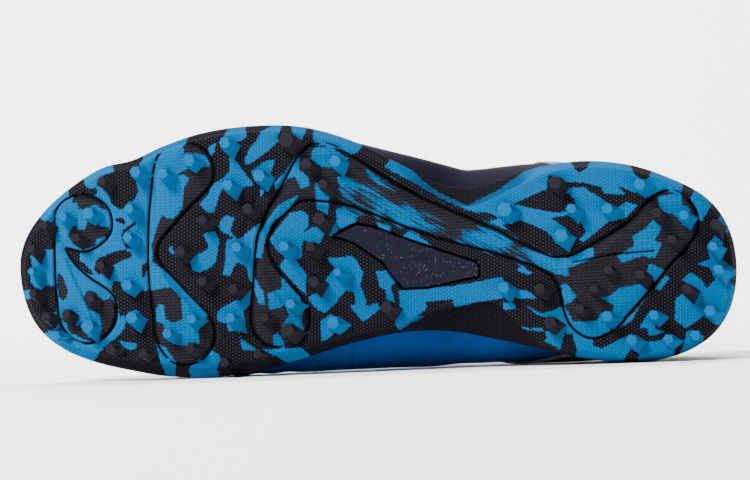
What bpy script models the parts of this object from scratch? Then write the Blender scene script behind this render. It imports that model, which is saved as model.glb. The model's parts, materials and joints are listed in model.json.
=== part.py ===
# Turf football shoe, left foot, lying on its medial side with the sole towards the viewer.
# The shoe is worked out standing, in its own frame: u from the heel back to the toe, v to the
# lateral side, w up from the plane of the stud tips. It is then laid on its side.
import bpy
import bmesh
import math
from mathutils import Matrix, Vector

# Named sizes in metres. Every table below holds shares of these sizes.
LENGTH = 0.290
BALL_WIDTH = 0.1005
HEEL_HEIGHT = 0.082
INSTEP_HEIGHT = 0.0875
TOE_SPRING = 0.0135
SOLE_DEPTH = 0.0060
CUP_DEPTH = 0.0096
STUD_HEIGHT = 0.0055
STUD_TIP = 0.0048
STUD_TAPER = 0.0017
LIP = 0.0018
FLARE = 0.0009
WALL = 0.0020
GAP = 0.0003
COUNTER = 0.0010
INSOLE = 0.0048
PLATE = 0.0012
TONGUE = 0.0040
TONGUE_RISE = 0.0195
LACE_WIDTH = 0.0048
LACE_DEPTH = 0.0011
STATIONS = 36

# Plan of the sole's rim and how far the tread lies inside it, as shares of the ball width. The
# waist is cut in deep on the medial side.
PLAN = [
    # along, rim lateral, rim medial, inset lateral, inset medial
    (0.000, -0.036, -0.036, 0.026, 0.026),
    (0.012, 0.139, -0.204, 0.026, 0.026),
    (0.041, 0.252, -0.308, 0.026, 0.026),
    (0.090, 0.331, -0.378, 0.026, 0.026),
    (0.155, 0.391, -0.402, 0.026, 0.026),
    (0.214, 0.404, -0.384, 0.026, 0.026),
    (0.269, 0.384, -0.352, 0.028, 0.028),
    (0.317, 0.343, -0.320, 0.044, 0.080),
    (0.348, 0.313, -0.302, 0.060, 0.135),
    (0.376, 0.296, -0.286, 0.070, 0.115),
    (0.407, 0.308, -0.276, 0.054, 0.086),
    (0.469, 0.393, -0.284, 0.034, 0.040),
    (0.534, 0.484, -0.324, 0.028, 0.038),
    (0.603, 0.539, -0.386, 0.026, 0.042),
    (0.672, 0.543, -0.440, 0.026, 0.046),
    (0.741, 0.515, -0.462, 0.026, 0.048),
    (0.800, 0.458, -0.454, 0.026, 0.048),
    (0.838, 0.408, -0.436, 0.026, 0.046),
    (0.876, 0.383, -0.414, 0.026, 0.040),
    (0.931, 0.289, -0.360, 0.026, 0.030),
    (0.976, 0.165, -0.256, 0.026, 0.026),
    (1.000, -0.016, -0.016, 0.026, 0.026),
]

# Heights along the sole. Lift of the tread above the level of the studs' feet is a share of the
# toe spring, depth from tread to inner floor of the sole depth, rim above the floor of the cup
# depth, and the upper's widest line above the rim of the instep height.
LEVELS = [
    # along, lift, depth, cup, widest
    (0.00, 0.230, 1.067, 1.042, 0.171),
    (0.04, 0.081, 1.133, 1.063, 0.187),
    (0.10, 0.007, 1.100, 1.083, 0.199),
    (0.22, 0.000, 1.050, 1.021, 0.210),
    (0.30, 0.111, 0.967, 1.021, 0.222),
    (0.36, 0.244, 0.900, 0.958, 0.224),
    (0.43, 0.230, 0.867, 0.917, 0.210),
    (0.52, 0.081, 0.833, 0.854, 0.185),
    (0.60, 0.007, 0.800, 0.771, 0.151),
    (0.70, 0.000, 0.783, 0.750, 0.121),
    (0.78, 0.067, 0.767, 0.750, 0.107),
    (0.86, 0.289, 0.733, 0.771, 0.101),
    (0.94, 0.644, 0.700, 0.792, 0.086),
    (1.00, 1.000, 0.667, 0.792, 0.069),
]

# Widest line of the upper beyond the rim as a share of the ball width, lateral and medial. It
# is beyond the rim only in the waist, where the medial arch stands out most.
GIRTH = [
    # along, lateral, medial
    (0.00, -0.024, -0.024),
    (0.10, -0.024, -0.024),
    (0.18, -0.020, -0.006),
    (0.22, -0.012, 0.018),
    (0.26, 0.008, 0.048),
    (0.31, 0.040, 0.092),
    (0.36, 0.070, 0.128),
    (0.42, 0.082, 0.158),
    (0.47, 0.046, 0.152),
    (0.53, 0.002, 0.123),
    (0.60, -0.018, 0.069),
    (0.65, -0.024, 0.032),
    (0.70, -0.024, 0.012),
    (0.74, -0.024, 0.002),
    (0.78, -0.024, -0.006),
    (0.84, -0.022, -0.014),
    (0.92, -0.020, -0.018),
    (1.00, -0.018, -0.018),
]

# Top edge of the upper at each station: the collar, then the throat, then the ridge of the
# vamp, which closes where the half width reaches zero. The height is the sum of a share of the
# heel height and one of the instep height. Lean is the share by which the side turns inwards
# there, 0 upright and 1 flat.
TOP = [
    # station, along, half width, heel share, instep share, lean
    (0.000, 0.022, 0.000, 1.000, 0.000, 0.00),
    (0.020, 0.030, 0.110, 0.993, 0.000, 0.02),
    (0.050, 0.050, 0.200, 0.960, 0.000, 0.06),
    (0.100, 0.100, 0.282, 0.870, 0.000, 0.10),
    (0.170, 0.172, 0.318, 0.778, 0.000, 0.14),
    (0.250, 0.248, 0.322, 0.518, 0.229, 0.16),
    (0.330, 0.322, 0.288, 0.306, 0.510, 0.22),
    (0.380, 0.374, 0.236, 0.156, 0.765, 0.34),
    (0.420, 0.410, 0.186, 0.000, 0.999, 0.46),
    (0.480, 0.470, 0.158, 0.000, 0.920, 0.56),
    (0.550, 0.538, 0.136, 0.000, 0.813, 0.64),
    (0.620, 0.602, 0.106, 0.000, 0.718, 0.74),
    (0.665, 0.646, 0.066, 0.000, 0.662, 0.86),
    (0.695, 0.672, 0.000, 0.000, 0.634, 1.00),
    (0.760, 0.728, 0.000, 0.000, 0.572, 1.00),
    (0.840, 0.790, 0.000, 0.000, 0.512, 1.00),
    (0.920, 0.852, 0.000, 0.000, 0.469, 1.00),
    (1.000, 0.905, 0.000, 0.000, 0.442, 1.00),
]

# Sideways place of the last's centre line as a share of the ball width.
CENTRE = [(0.00, -0.036), (0.30, -0.030), (0.50, -0.015), (0.67, -0.030), (0.85, -0.050),
          (1.00, -0.050)]

# Studs: place along, place across, width over the flats of the tip as a share of the usual tip.
STUDS = [
    (0.960, 0.147, 0.83), (0.978, 0.050, 0.75), (0.978, -0.038, 0.71), (0.976, -0.126, 0.79),
    (0.957, -0.219, 0.88), (0.943, -0.295, 0.96),
    (0.933, 0.178, 0.92), (0.897, 0.192, 1.13), (0.915, 0.095, 0.90), (0.895, -0.147, 0.92),
    (0.928, -0.208, 0.88), (0.898, -0.255, 1.25), (0.878, 0.321, 0.88), (0.831, 0.356, 1.08),
    (0.840, 0.211, 0.96), (0.842, 0.097, 0.96), (0.880, -0.014, 0.88), (0.843, -0.092, 1.08),
    (0.836, -0.221, 1.13), (0.865, -0.344, 0.92), (0.820, -0.363, 0.92), (0.757, 0.401, 1.17),
    (0.793, 0.348, 1.00), (0.753, -0.225, 0.94), (0.787, -0.282, 0.94), (0.755, -0.337, 0.92),
    (0.708, 0.470, 1.08), (0.704, 0.304, 1.04), (0.739, 0.166, 0.94), (0.769, 0.042, 1.00),
    (0.692, 0.059, 1.00), (0.739, -0.076, 0.92), (0.697, -0.106, 0.94), (0.700, -0.221, 0.96),
    (0.709, -0.396, 0.92), (0.624, 0.482, 1.46), (0.661, 0.341, 1.17), (0.677, 0.211, 1.00),
    (0.597, 0.387, 1.08), (0.557, 0.398, 1.13), (0.574, 0.308, 0.92), (0.579, 0.171, 1.21),
    (0.627, 0.063, 1.00), (0.591, 0.061, 0.96), (0.554, -0.040, 0.79), (0.587, -0.077, 1.04),
    (0.654, -0.218, 0.88), (0.618, -0.165, 0.98), (0.622, -0.270, 1.29), (0.560, -0.240, 1.25),
    (0.663, -0.361, 0.83), (0.487, -0.176, 1.13),
    (0.325, 0.207, 1.42), (0.256, 0.315, 1.25), (0.234, 0.211, 0.96), (0.248, 0.105, 1.29),
    (0.326, -0.101, 1.08), (0.277, -0.106, 1.00), (0.263, -0.239, 1.13), (0.223, -0.184, 0.96),
    (0.203, -0.106, 0.83), (0.185, 0.211, 1.08), (0.141, 0.306, 1.13), (0.118, 0.194, 1.00),
    (0.080, 0.185, 0.96), (0.097, 0.090, 0.88), (0.184, -0.030, 0.88), (0.140, -0.050, 0.92),
    (0.185, -0.214, 1.04), (0.036, 0.150, 0.92), (0.040, 0.062, 0.88), (0.032, -0.030, 0.96),
    (0.076, -0.105, 0.92), (0.044, -0.193, 1.08), (0.121, -0.210, 0.96), (0.151, -0.309, 1.04),
    (0.101, -0.305, 0.96), (0.064, -0.290, 0.96),
]

# Outline of the hard plate let into the waist, shares of length and ball width.
PLATE_OUTLINE = [
    (0.559, 0.105), (0.529, 0.149), (0.508, 0.141), (0.455, 0.085), (0.364, 0.000),
    (0.359, -0.024), (0.361, -0.056), (0.399, -0.081), (0.431, -0.101), (0.464, -0.105),
    (0.478, -0.056), (0.492, 0.000), (0.511, 0.036), (0.534, 0.081),
]

# Free top of the tongue above its last ring in the throat, which turns up in front of the ankle.
TONGUE_TOP = [
    # back share, rise share, width share, degrees turned up
    (0.28, 0.22, 0.75, 12.0), (0.50, 0.52, 0.72, 28.0), (0.64, 0.82, 0.66, 40.0),
    (0.69, 0.97, 0.50, 46.0),
]

# Densities in kg/m3, used only to find which side the shoe comes to rest on.
DENSITY = {"outsole": 1100.0, "arch_plate": 1150.0, "upper": 950.0, "heel_counter": 1200.0,
           "tongue": 500.0, "insole": 300.0, "laces": 900.0}


# Smooth value of one column of a table at a place along its first column.
def at(rows, column, x, warp=lambda value: value):
    keys = [warp(row[0]) for row in rows]
    values = [row[column] for row in rows]
    x = warp(x)
    if x <= keys[0]:
        return values[0]
    if x >= keys[-1]:
        return values[-1]
    k = max(i for i in range(len(keys) - 1) if keys[i] <= x)
    step = keys[k + 1] - keys[k]

    def slope(i):
        if i == 0 or i == len(keys) - 1:
            j = min(max(i, 1), len(keys) - 1)
            return (values[j] - values[j - 1]) / (keys[j] - keys[j - 1])
        before = (values[i] - values[i - 1]) / (keys[i] - keys[i - 1])
        after = (values[i + 1] - values[i]) / (keys[i + 1] - keys[i])
        left, right = keys[i] - keys[i - 1], keys[i + 1] - keys[i]
        return (before * right + after * left) / (left + right)

    t = (x - keys[k]) / step
    return ((2 * t ** 3 - 3 * t ** 2 + 1) * values[k] + (t ** 3 - 2 * t ** 2 + t) * step * slope(k)
            + (3 * t ** 2 - 2 * t ** 3) * values[k + 1] + (t ** 3 - t ** 2) * step * slope(k + 1))


# Stations crowd at the heel back and toe tip, where the outline turns fastest.
def turn(share):
    return math.acos(1.0 - 2.0 * min(max(share, 0.0), 1.0))


STATION = [0.5 - 0.5 * math.cos(math.pi * i / STATIONS) for i in range(STATIONS + 1)]
SIDES = ("lateral", "medial")


def column_of(side):
    return 1 if side == "lateral" else 2


def sign_of(side):
    return 1.0 if side == "lateral" else -1.0


def rim_plan(side, share):
    return Vector((share * LENGTH, at(PLAN, column_of(side), share, turn) * BALL_WIDTH, 0.0))


# Outward direction of the rim in plan. At the heel back and toe tip it points straight out.
def rim_out(side, share):
    if share <= 0.0:
        return Vector((-1.0, 0.0, 0.0))
    if share >= 1.0:
        return Vector((1.0, 0.0, 0.0))
    low, high = turn(share) - 0.03, turn(share) + 0.03
    ends = []
    for angle in (max(low, 0.0), min(high, math.pi)):
        place = 0.5 - 0.5 * math.cos(angle)
        ends.append(rim_plan(side, place))
    along = (ends[1] - ends[0]).normalized()
    return Vector((-along.y, along.x, 0.0)) * sign_of(side)


# Height of the tread, the inner floor, the rim or the widest line at a station.
def level(column, share):
    height = STUD_HEIGHT
    for number, size in ((1, TOE_SPRING), (2, SOLE_DEPTH), (3, CUP_DEPTH), (4, INSTEP_HEIGHT)):
        if number <= column:
            height += at(LEVELS, number, share) * size
    return height


# Ring of the sole or upper at one station: the rim moved outwards, set at a height.
def rim_point(side, share, outwards, height):
    point = rim_plan(side, share) + rim_out(side, share) * outwards
    point.z = height
    return point


def tread_inset(side, share):
    return at(PLAN, 3 if side == "lateral" else 4, share, turn) * BALL_WIDTH


# Column of the upper's outer skin at a station, from the floor up to the top edge. Rows 0 to 2
# stand in the cup of the sole, row 3 is just above its rim, then the side swells to its widest
# line and turns in to the collar, throat or ridge.
ROWS_LOW = 4
ROWS_HIGH = 7


def skin_column(side, share):
    floor, rim, widest = level(2, share), level(3, share), level(4, share)
    seat = LIP + GAP + FLARE
    pinch = 0.2 * WALL + 0.22 * max(tread_inset(side, share) - 0.026 * BALL_WIDTH, 0.0)
    points = [
        rim_point(side, share, -seat - pinch, floor + GAP),
        rim_point(side, share, -seat - 0.55 * pinch, floor + GAP + INSOLE + 0.5 * GAP),
        rim_point(side, share, -seat, rim),
    ]
    start = points[-1]
    swell = at(GIRTH, column_of(side), share, turn) * BALL_WIDTH
    girth = rim_point(side, share, swell, widest)
    half = max(at(TOP, 2, share), 0.0) * BALL_WIDTH
    centre = at(CENTRE, 1, at(TOP, 1, share)) * BALL_WIDTH
    top = Vector((at(TOP, 1, share) * LENGTH, centre + sign_of(side) * half,
                  at(TOP, 3, share) * HEEL_HEIGHT + at(TOP, 4, share) * INSTEP_HEIGHT))
    lean = at(TOP, 5, share)

    def bend(a, tangent_a, b, tangent_b, t):
        return ((2 * t ** 3 - 3 * t ** 2 + 1) * a + (t ** 3 - 2 * t ** 2 + t) * tangent_a
                + (3 * t ** 2 - 2 * t ** 3) * b + (t ** 3 - t ** 2) * tangent_b)

    rise = (girth - start).length
    up = Vector((0.0, 0.0, 1.0))
    away = girth - start
    away.z = 0.0
    leave = (up * 0.8 * rise + away * 0.9)
    points.append(bend(start, leave, girth, up * rise, 0.10))
    for k in range(1, ROWS_LOW):
        points.append(bend(start, leave, girth, up * rise, 0.10 + 0.90 * k / ROWS_LOW))
    points.append(girth)
    inward = top - girth
    inward.z = 0.0
    drop = top.z - girth.z
    reach = inward.length
    arrive = up * max(drop, 2.0 * WALL) * 1.1 * (1.0 - lean) + inward * 1.45 * lean
    if reach > 1e-6:
        arrive = arrive + inward.normalized() * 0.25 * drop * min(lean * 2.0, 1.0) * (1.0 - lean)
    for k in range(1, ROWS_HIGH + 1):
        t = k / ROWS_HIGH
        points.append(bend(girth, up * max(drop, 3.0 * WALL) * (1.2 + 0.35 * lean), top, arrive, t))
    return points


ROW_COUNT = 3 + 1 + (ROWS_LOW - 1) + 1 + ROWS_HIGH
GRID = {side: [skin_column(side, share) for share in STATION] for side in SIDES}

# Station where the throat closes: from here on the two sides meet on the ridge.
THROAT_END = next(i for i, share in enumerate(STATION)
                  if share > 0.5 and at(TOP, 2, share) < 0.004)


# The grid is one sheet: the sides share the heel column, the toe column and the ridge.
def key(side, i, j):
    if i == 0 or i == STATIONS:
        return ("mid", i, j)
    if j == ROW_COUNT - 1 and i >= THROAT_END:
        return ("ridge", i, j)
    return (side, i, j)


PLACE = {}
for side in SIDES:
    for i in range(STATIONS + 1):
        for j in range(ROW_COUNT):
            name = key(side, i, j)
            if name in PLACE:
                PLACE[name] = (PLACE[name] + GRID[side][i][j]) / 2.0
            else:
                PLACE[name] = GRID[side][i][j].copy()


def skin_faces(stations, rows, sides=("lateral", "medial")):
    faces = []
    for side in sides:
        for i in stations:
            for j in rows:
                corners = [key(side, i, j), key(side, i + 1, j), key(side, i + 1, j + 1),
                           key(side, i, j + 1)]
                if side == "lateral":
                    corners.reverse()
                loop = []
                for corner in corners:
                    if corner not in loop:
                        loop.append(corner)
                if len(loop) > 2:
                    faces.append(tuple(loop))
    return faces


# Outward normal of the skin at every grid point.
ALL_FACES = skin_faces(range(STATIONS), range(ROW_COUNT - 1))
NORMAL = {name: Vector((0.0, 0.0, 0.0)) for name in PLACE}
for face in ALL_FACES:
    points = [PLACE[name] for name in face]
    for k in range(len(points)):
        before, here, after = points[k - 1], points[k], points[(k + 1) % len(points)]
        a, b = after - here, before - here
        if a.length > 1e-9 and b.length > 1e-9:
            cross = a.cross(b)
            if cross.length > 1e-14:
                NORMAL[face[k]] += cross.normalized() * a.angle(b)
for name in NORMAL:
    NORMAL[name].normalize()


def off(name, distance):
    return PLACE[name] + NORMAL[name] * distance


# Builds an object from faces given as lists of points, and joins equal points.
def body(name, faces):
    mesh = bmesh.new()
    seen = {}
    for face in faces:
        loop = []
        for point in face:
            spot = (round(point.x * 2e6), round(point.y * 2e6), round(point.z * 2e6))
            if spot not in seen:
                seen[spot] = mesh.verts.new(point)
            if seen[spot] not in loop:
                loop.append(seen[spot])
        if len(loop) > 2:
            mesh.faces.new(loop)
    bmesh.ops.remove_doubles(mesh, verts=mesh.verts, dist=2e-6)
    bmesh.ops.triangulate(mesh, faces=mesh.faces)
    bmesh.ops.recalc_face_normals(mesh, faces=mesh.faces)
    data = bpy.data.meshes.new(name)
    mesh.to_mesh(data)
    mesh.free()
    result = bpy.data.objects.new(name, data)
    bpy.context.scene.collection.objects.link(result)
    return result


# A piece of the skin with thickness, between two distances from the outer face.
def shell(name, faces, low, high):
    count = {}
    for face in faces:
        for k in range(len(face)):
            edge = (face[k], face[(k + 1) % len(face)])
            count[edge] = count.get(edge, 0) + 1
    solid = [[off(n, high) for n in face] for face in faces]
    solid += [[off(n, low) for n in reversed(face)] for face in faces]
    for a, b in count:
        if (b, a) not in count:
            solid.append([off(b, high), off(a, high), off(a, low), off(b, low)])
    return body(name, solid)


# Closed body through one ring of points per station. Rings fold flat at the ends.
def loft(name, rings):
    faces = []
    for one, two in zip(rings, rings[1:]):
        for k in range(len(one)):
            n = (k + 1) % len(one)
            faces.append([one[k], two[k], two[n], one[n]])
    return body(name, faces)


def between(a, b, steps):
    return [a.lerp(b, k / (steps + 1)) for k in range(1, steps + 1)]


def join_boolean(target, tool, operation):
    step = target.modifiers.new(operation.lower(), "BOOLEAN")
    step.operation = operation
    step.solver = "EXACT"
    step.object = tool
    tool.hide_render = True
    tool.display_type = "WIRE"
    return step


for start in list(bpy.data.objects):
    bpy.data.objects.remove(start, do_unlink=True)

# Outsole. Moulded rubber cup, in one piece with its studs: ground of the tread, sidewall and a
# thin lip that holds the lower edge of the upper.
rings = []
for i, share in enumerate(STATION):
    tread, floor, rim = level(1, share), level(2, share), level(3, share)
    half = {}
    for side in SIDES:
        inset = tread_inset(side, share)
        half[side] = [
            rim_point(side, share, -inset - 0.016 * BALL_WIDTH, tread),
            rim_point(side, share, -inset, tread + 0.17 * SOLE_DEPTH),
            rim_point(side, share, 0.0, tread + 0.40 * (rim - tread)),
            rim_point(side, share, -FLARE, rim),
            off(key(side, i, 2), GAP),
            off(key(side, i, 1), GAP),
            off(key(side, i, 0), GAP),
        ]
        half[side][4].z = rim
        half[side][6].z = floor
    lateral, medial = half["lateral"], half["medial"]
    ring = lateral + between(lateral[-1], medial[-1], 3) + list(reversed(medial))
    ring += between(medial[0], lateral[0], 5)
    rings.append(ring)
outsole = loft("outsole", rings)

# Hexagonal studs with sloping sides. Their feet stand a quarter deep in the sole, and their tips
# share one plane except at the toe, where they follow the toe spring.
faces = []
for along, across, width in STUDS:
    ground = level(1, along)
    tip = max(ground - STUD_HEIGHT, 0.0)
    centre = Vector((along * LENGTH, across * BALL_WIDTH, 0.0))
    drift = Vector((-0.7 if along > 0.45 else -0.3, -0.2, 0.0)) * STUD_TAPER
    small = width * STUD_TIP / 2.0 / math.cos(math.pi / 6)
    large = small + STUD_TAPER
    low, high = [], []
    for k in range(6):
        arm = Vector((math.cos(math.pi * k / 3 + 0.1), math.sin(math.pi * k / 3 + 0.1), 0.0))
        low.append(centre + arm * small + Vector((0.0, 0.0, tip)))
        high.append(centre + drift + arm * large + Vector((0.0, 0.0, ground + 0.25 * SOLE_DEPTH)))
    faces.append(list(low))
    faces.append(list(reversed(high)))
    for k in range(6):
        n = (k + 1) % 6
        faces.append([low[k], low[n], high[n], high[k]])
studs = body("studs", faces)

# Pocket in the waist for the hard plate, and the plate itself. Both follow the ground of the
# tread, the plate with a clearance all round.
def waist_slab(name, grow, low, high):
    centre = Vector((sum(p[0] for p in PLATE_OUTLINE) / len(PLATE_OUTLINE) * LENGTH,
                     sum(p[1] for p in PLATE_OUTLINE) / len(PLATE_OUTLINE) * BALL_WIDTH, 0.0))
    points = [Vector((p[0] * LENGTH, p[1] * BALL_WIDTH, 0.0)) for p in PLATE_OUTLINE]
    grown = []
    for k, here in enumerate(points):
        before, after = points[k - 1], points[(k + 1) % len(points)]
        along = (after - before).normalized()
        side = Vector((along.y, -along.x, 0.0))
        if side.dot(here - centre) < 0.0:
            side = -side
        grown.append(here + side * grow)
    dense = []
    for k, here in enumerate(grown):
        dense += [here] + between(here, grown[(k + 1) % len(grown)], 1)
    caps, walls = [], []
    for k, here in enumerate(dense):
        after = dense[(k + 1) % len(dense)]

        def lift(point, height):
            share = point.x / LENGTH
            return Vector((point.x, point.y, level(1, share) + height))

        mid, mid_after = centre.lerp(here, 0.5), centre.lerp(after, 0.5)
        caps.append([lift(centre, low), lift(mid, low), lift(mid_after, low)])
        caps.append([lift(mid, low), lift(here, low), lift(after, low), lift(mid_after, low)])
        caps.append([lift(centre, high), lift(mid_after, high), lift(mid, high)])
        caps.append([lift(mid, high), lift(mid_after, high), lift(after, high), lift(here, high)])
        walls.append([lift(here, low), lift(here, high), lift(after, high), lift(after, low)])
    return body(name, caps + walls)


pocket = waist_slab("pocket", 0.0, -PLATE, PLATE + 2 * GAP)
plate = waist_slab("arch_plate", -GAP, 0.5 * GAP, PLATE)

join_boolean(outsole, studs, "UNION")
join_boolean(outsole, pocket, "DIFFERENCE")

# Upper. One hollow skin with a real wall, open at the collar, the throat and underneath.
upper = shell("upper", ALL_FACES, -WALL, 0.0)

# Ribbed counter moulded round the heel, on top of the upper and clear of the sole's rim. Its
# medial end slants forward as it rises, as the photo shows.
back = next(i for i, share in enumerate(STATION) if share > 0.36)
counter = shell("heel_counter", skin_faces(range(back), range(3, 9)), GAP, GAP + COUNTER)
knife = bmesh.new()
knife.from_mesh(counter.data)
for sign, foot, lean in ((1.0, 0.235, 0.5), (-1.0, 0.205, 1.25)):
    normal = Vector((1.0, 0.0, -lean)).normalized()
    spot = Vector((foot * LENGTH, 0.0, level(3, foot)))
    geometry = [v for v in knife.verts if v.co.y * sign > -2.0 * WALL]
    part = set(geometry)
    edges = [e for e in knife.edges if e.verts[0] in part and e.verts[1] in part]
    faces = [f for f in knife.faces if all(v in part for v in f.verts)]
    cut = bmesh.ops.bisect_plane(knife, geom=geometry + edges + faces, plane_co=spot,
                                 plane_no=normal, clear_outer=False)
    gone = [v for v in knife.verts if v.co.y * sign > -2.0 * WALL
            and (v.co - spot).dot(normal) > 1e-7]
    bmesh.ops.delete(knife, geom=gone, context="VERTS")
bmesh.ops.holes_fill(knife, edges=[e for e in knife.edges if e.is_boundary], sides=0)
bmesh.ops.triangulate(knife, faces=knife.faces)
bmesh.ops.recalc_face_normals(knife, faces=knife.faces)
knife.to_mesh(counter.data)
knife.free()

# Insole. Foam footbed inside the upper, on the floor of the sole.
rings = []
for i, share in enumerate(STATION):
    half = {}
    for side in SIDES:
        bottom = off(key(side, i, 0), -WALL - GAP)
        bottom.z = level(2, share) + GAP
        top = off(key(side, i, 1), -WALL - GAP)
        top.z = bottom.z + INSOLE
        half[side] = [bottom, top]
    lateral, medial = half["lateral"], half["medial"]
    rings.append(lateral + between(lateral[1], medial[1], 3) + list(reversed(medial))
                 + between(medial[0], lateral[0], 3))
insole = loft("insole", rings)

# Tongue. Padded flap under the throat: it follows the inside of the upper beyond both throat
# edges, crowns across the opening, and stands above the collar at its top.
first = next(i for i, share in enumerate(STATION) if share > 0.405)
last = THROAT_END + 2
TOP_ROW = ROW_COUNT - 1
rings = []


def tongue_ring(i, thick):
    under = {}
    for side in SIDES:
        under[side] = [off(key(side, i, TOP_ROW - 2), -WALL - GAP),
                       off(key(side, i, TOP_ROW - 1), -WALL - GAP),
                       off(key(side, i, TOP_ROW), -WALL - GAP)]
    if i >= THROAT_END:
        ridge = under["lateral"][2]
        for side in SIDES:
            under[side][2] = under[side][1].lerp(ridge, 0.5)
        middle = [under["lateral"][2].lerp(ridge, 0.5), ridge, under["medial"][2].lerp(ridge, 0.5)]
    else:
        a, b = under["lateral"][2], under["medial"][2]
        crown = (a - b).length * (0.10 if i < THROAT_END - 1 else -0.06)
        middle = []
        for k in range(1, 4):
            point = a.lerp(b, k / 4.0)
            point += Vector((0.3, 0.0, 0.95)) * crown * (1.0 - (2.0 * k / 4.0 - 1.0) ** 2)
            middle.append(point)
    outer = under["lateral"] + middle + list(reversed(under["medial"]))
    inner = []
    for k, point in enumerate(outer):
        before, after = outer[max(k - 1, 0)], outer[min(k + 1, len(outer) - 1)]
        across = (before - after).normalized()
        down = across.cross(Vector((1.0, 0.0, 0.35)).normalized())
        if down.z > 0.0:
            down = -down
        edge = min(k, len(outer) - 1 - k)
        inner.append(point + down.normalized() * thick * (0.4, 0.75, 0.95, 1.0, 1.0)[edge])
    return outer + list(reversed(inner))


for i in range(last, first - 1, -1):
    rings.append(tongue_ring(i, TONGUE if i < THROAT_END else 0.65 * TONGUE))
base = rings[-1]
crest = base[len(base) // 4]
for back_by, up_by, shrink, tip_up in TONGUE_TOP:
    swing = Matrix.Rotation(math.radians(tip_up), 3, "Y")
    rings.append([crest + swing @ Vector((p.x - crest.x, (p.y - crest.y) * shrink, p.z - crest.z))
                  + Vector((-back_by, 0.0, up_by)) * TONGUE_RISE for p in base])
faces = []
for one, two in zip(rings, rings[1:]):
    for k in range(len(one)):
        n = (k + 1) % len(one)
        faces.append([one[k], two[k], two[n], one[n]])
half = len(rings[0]) // 2
for ring, flip in ((rings[0], False), (rings[-1], True)):
    for k in range(half - 1):
        quad = [ring[k], ring[k + 1], ring[2 * half - 2 - k], ring[2 * half - 1 - k]]
        faces.append(list(reversed(quad)) if flip else quad)
tongue = body("tongue", faces)

# Laces. The crossings between five pairs of holes, joined where they cross and where they meet.
# They lie clear above the tongue and the throat edges.
pairs = [first + 0.5 + k * (THROAT_END - 1.5 - first) / 4.0 for k in range(5)]


def throat_hole(side, station):
    low = min(int(math.floor(station)), STATIONS - 1)
    part = station - low
    spots = []
    for i in (low, low + 1):
        edge, next_row = key(side, i, TOP_ROW), key(side, i, TOP_ROW - 1)
        spots.append(off(edge, 2.0 * LACE_DEPTH).lerp(off(next_row, 2.0 * LACE_DEPTH), 0.35))
    return spots[0].lerp(spots[1], part)


def bar(a, b, rise):
    along = b - a
    a = a - along.normalized() * 0.3 * LACE_WIDTH + Vector((0.0, 0.0, rise))
    b = b + along.normalized() * 0.3 * LACE_WIDTH + Vector((0.0, 0.0, rise))
    middle = a.lerp(b, 0.5)
    middle.z += 0.65 * TONGUE
    across = along.cross(Vector((0.3, 0.0, 0.95))).normalized()
    over = across.cross(along).normalized()
    if over.z < 0.0:
        over = -over
    rings = []
    for point in (a, a.lerp(middle, 0.5), middle, b.lerp(middle, 0.5), b):
        half = across * LACE_WIDTH / 2.0
        rings.append([point + half, point + half + over * LACE_DEPTH,
                      point - half + over * LACE_DEPTH, point - half])
    faces = []
    for one, two in zip(rings, rings[1:]):
        for k in range(4):
            n = (k + 1) % 4
            faces.append([one[k], two[k], two[n], one[n]])
    return faces + [list(reversed(rings[0])), rings[-1]]


laces = None
for k in range(len(pairs)):
    wanted = [("lateral", k, "medial", k)] if k == len(pairs) - 1 else [
        ("lateral", k, "medial", k + 1), ("medial", k, "lateral", k + 1)]
    for side, one, other, two in wanted:
        piece = body("laces" if laces is None else "crossing",
                     bar(throat_hole(side, pairs[one]), throat_hole(other, pairs[two]),
                         (0.32 if side == "medial" else 0.0) * LACE_DEPTH))
        if laces is None:
            laces = piece
        else:
            join_boolean(laces, piece, "UNION")

# Lays the shoe on its medial side: it turns until a face of its convex outline that lies under
# the centre of mass is on the floor, then its box stands centred on the origin.
bpy.context.view_layer.update()
graph = bpy.context.evaluated_depsgraph_get()
ROLE = {"outsole": outsole, "arch_plate": plate, "upper": upper, "heel_counter": counter,
        "insole": insole, "tongue": tongue, "laces": laces}
to_row = Matrix(((-1.0, 0.0, 0.0), (0.0, 0.0, 1.0), (0.0, 1.0, 0.0)))
cloud, mass, moment = [], 0.0, Vector((0.0, 0.0, 0.0))
for name, thing in ROLE.items():
    shape = thing.evaluated_get(graph).to_mesh()
    shape.calc_loop_triangles()
    spots = [to_row @ v.co for v in shape.vertices]
    cloud += spots
    for triangle in shape.loop_triangles:
        a, b, c = (spots[n] for n in triangle.vertices)
        volume = a.dot(b.cross(c)) / 6.0 * DENSITY[name]
        mass += volume
        moment += volume * (a + b + c) / 4.0
    thing.evaluated_get(graph).to_mesh_clear()
centre = moment / mass
hull = bmesh.new()
for spot in cloud:
    hull.verts.new(spot)
bmesh.ops.convex_hull(hull, input=hull.verts)
best = None
for face in hull.faces:
    if face.normal.z > -0.8 or face.calc_area() < 1e-6:
        continue
    depth = (face.verts[0].co - centre).dot(face.normal)
    foot = centre + face.normal * depth
    corners = [v.co for v in face.verts]
    inside = all((corners[(k + 1) % len(corners)] - corners[k]).cross(foot - corners[k])
                 .dot(face.normal) > -1e-9 for k in range(len(corners)))
    if inside and (best is None or face.normal.z < best.z):
        best = face.normal.copy()
hull.free()
lay = best.rotation_difference(Vector((0.0, 0.0, -1.0))).to_matrix() @ to_row
low = Vector((min((lay @ (to_row.transposed() @ s))[n] for s in cloud) for n in range(3)))
high = Vector((max((lay @ (to_row.transposed() @ s))[n] for s in cloud) for n in range(3)))
shift = Vector((-(low.x + high.x) / 2.0, -(low.y + high.y) / 2.0, -low.z))
frame = Matrix.Translation(shift) @ lay.to_4x4()
axes = bpy.data.objects.new("shoe_axes", None)
bpy.context.scene.collection.objects.link(axes)
axes.matrix_world = frame
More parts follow.
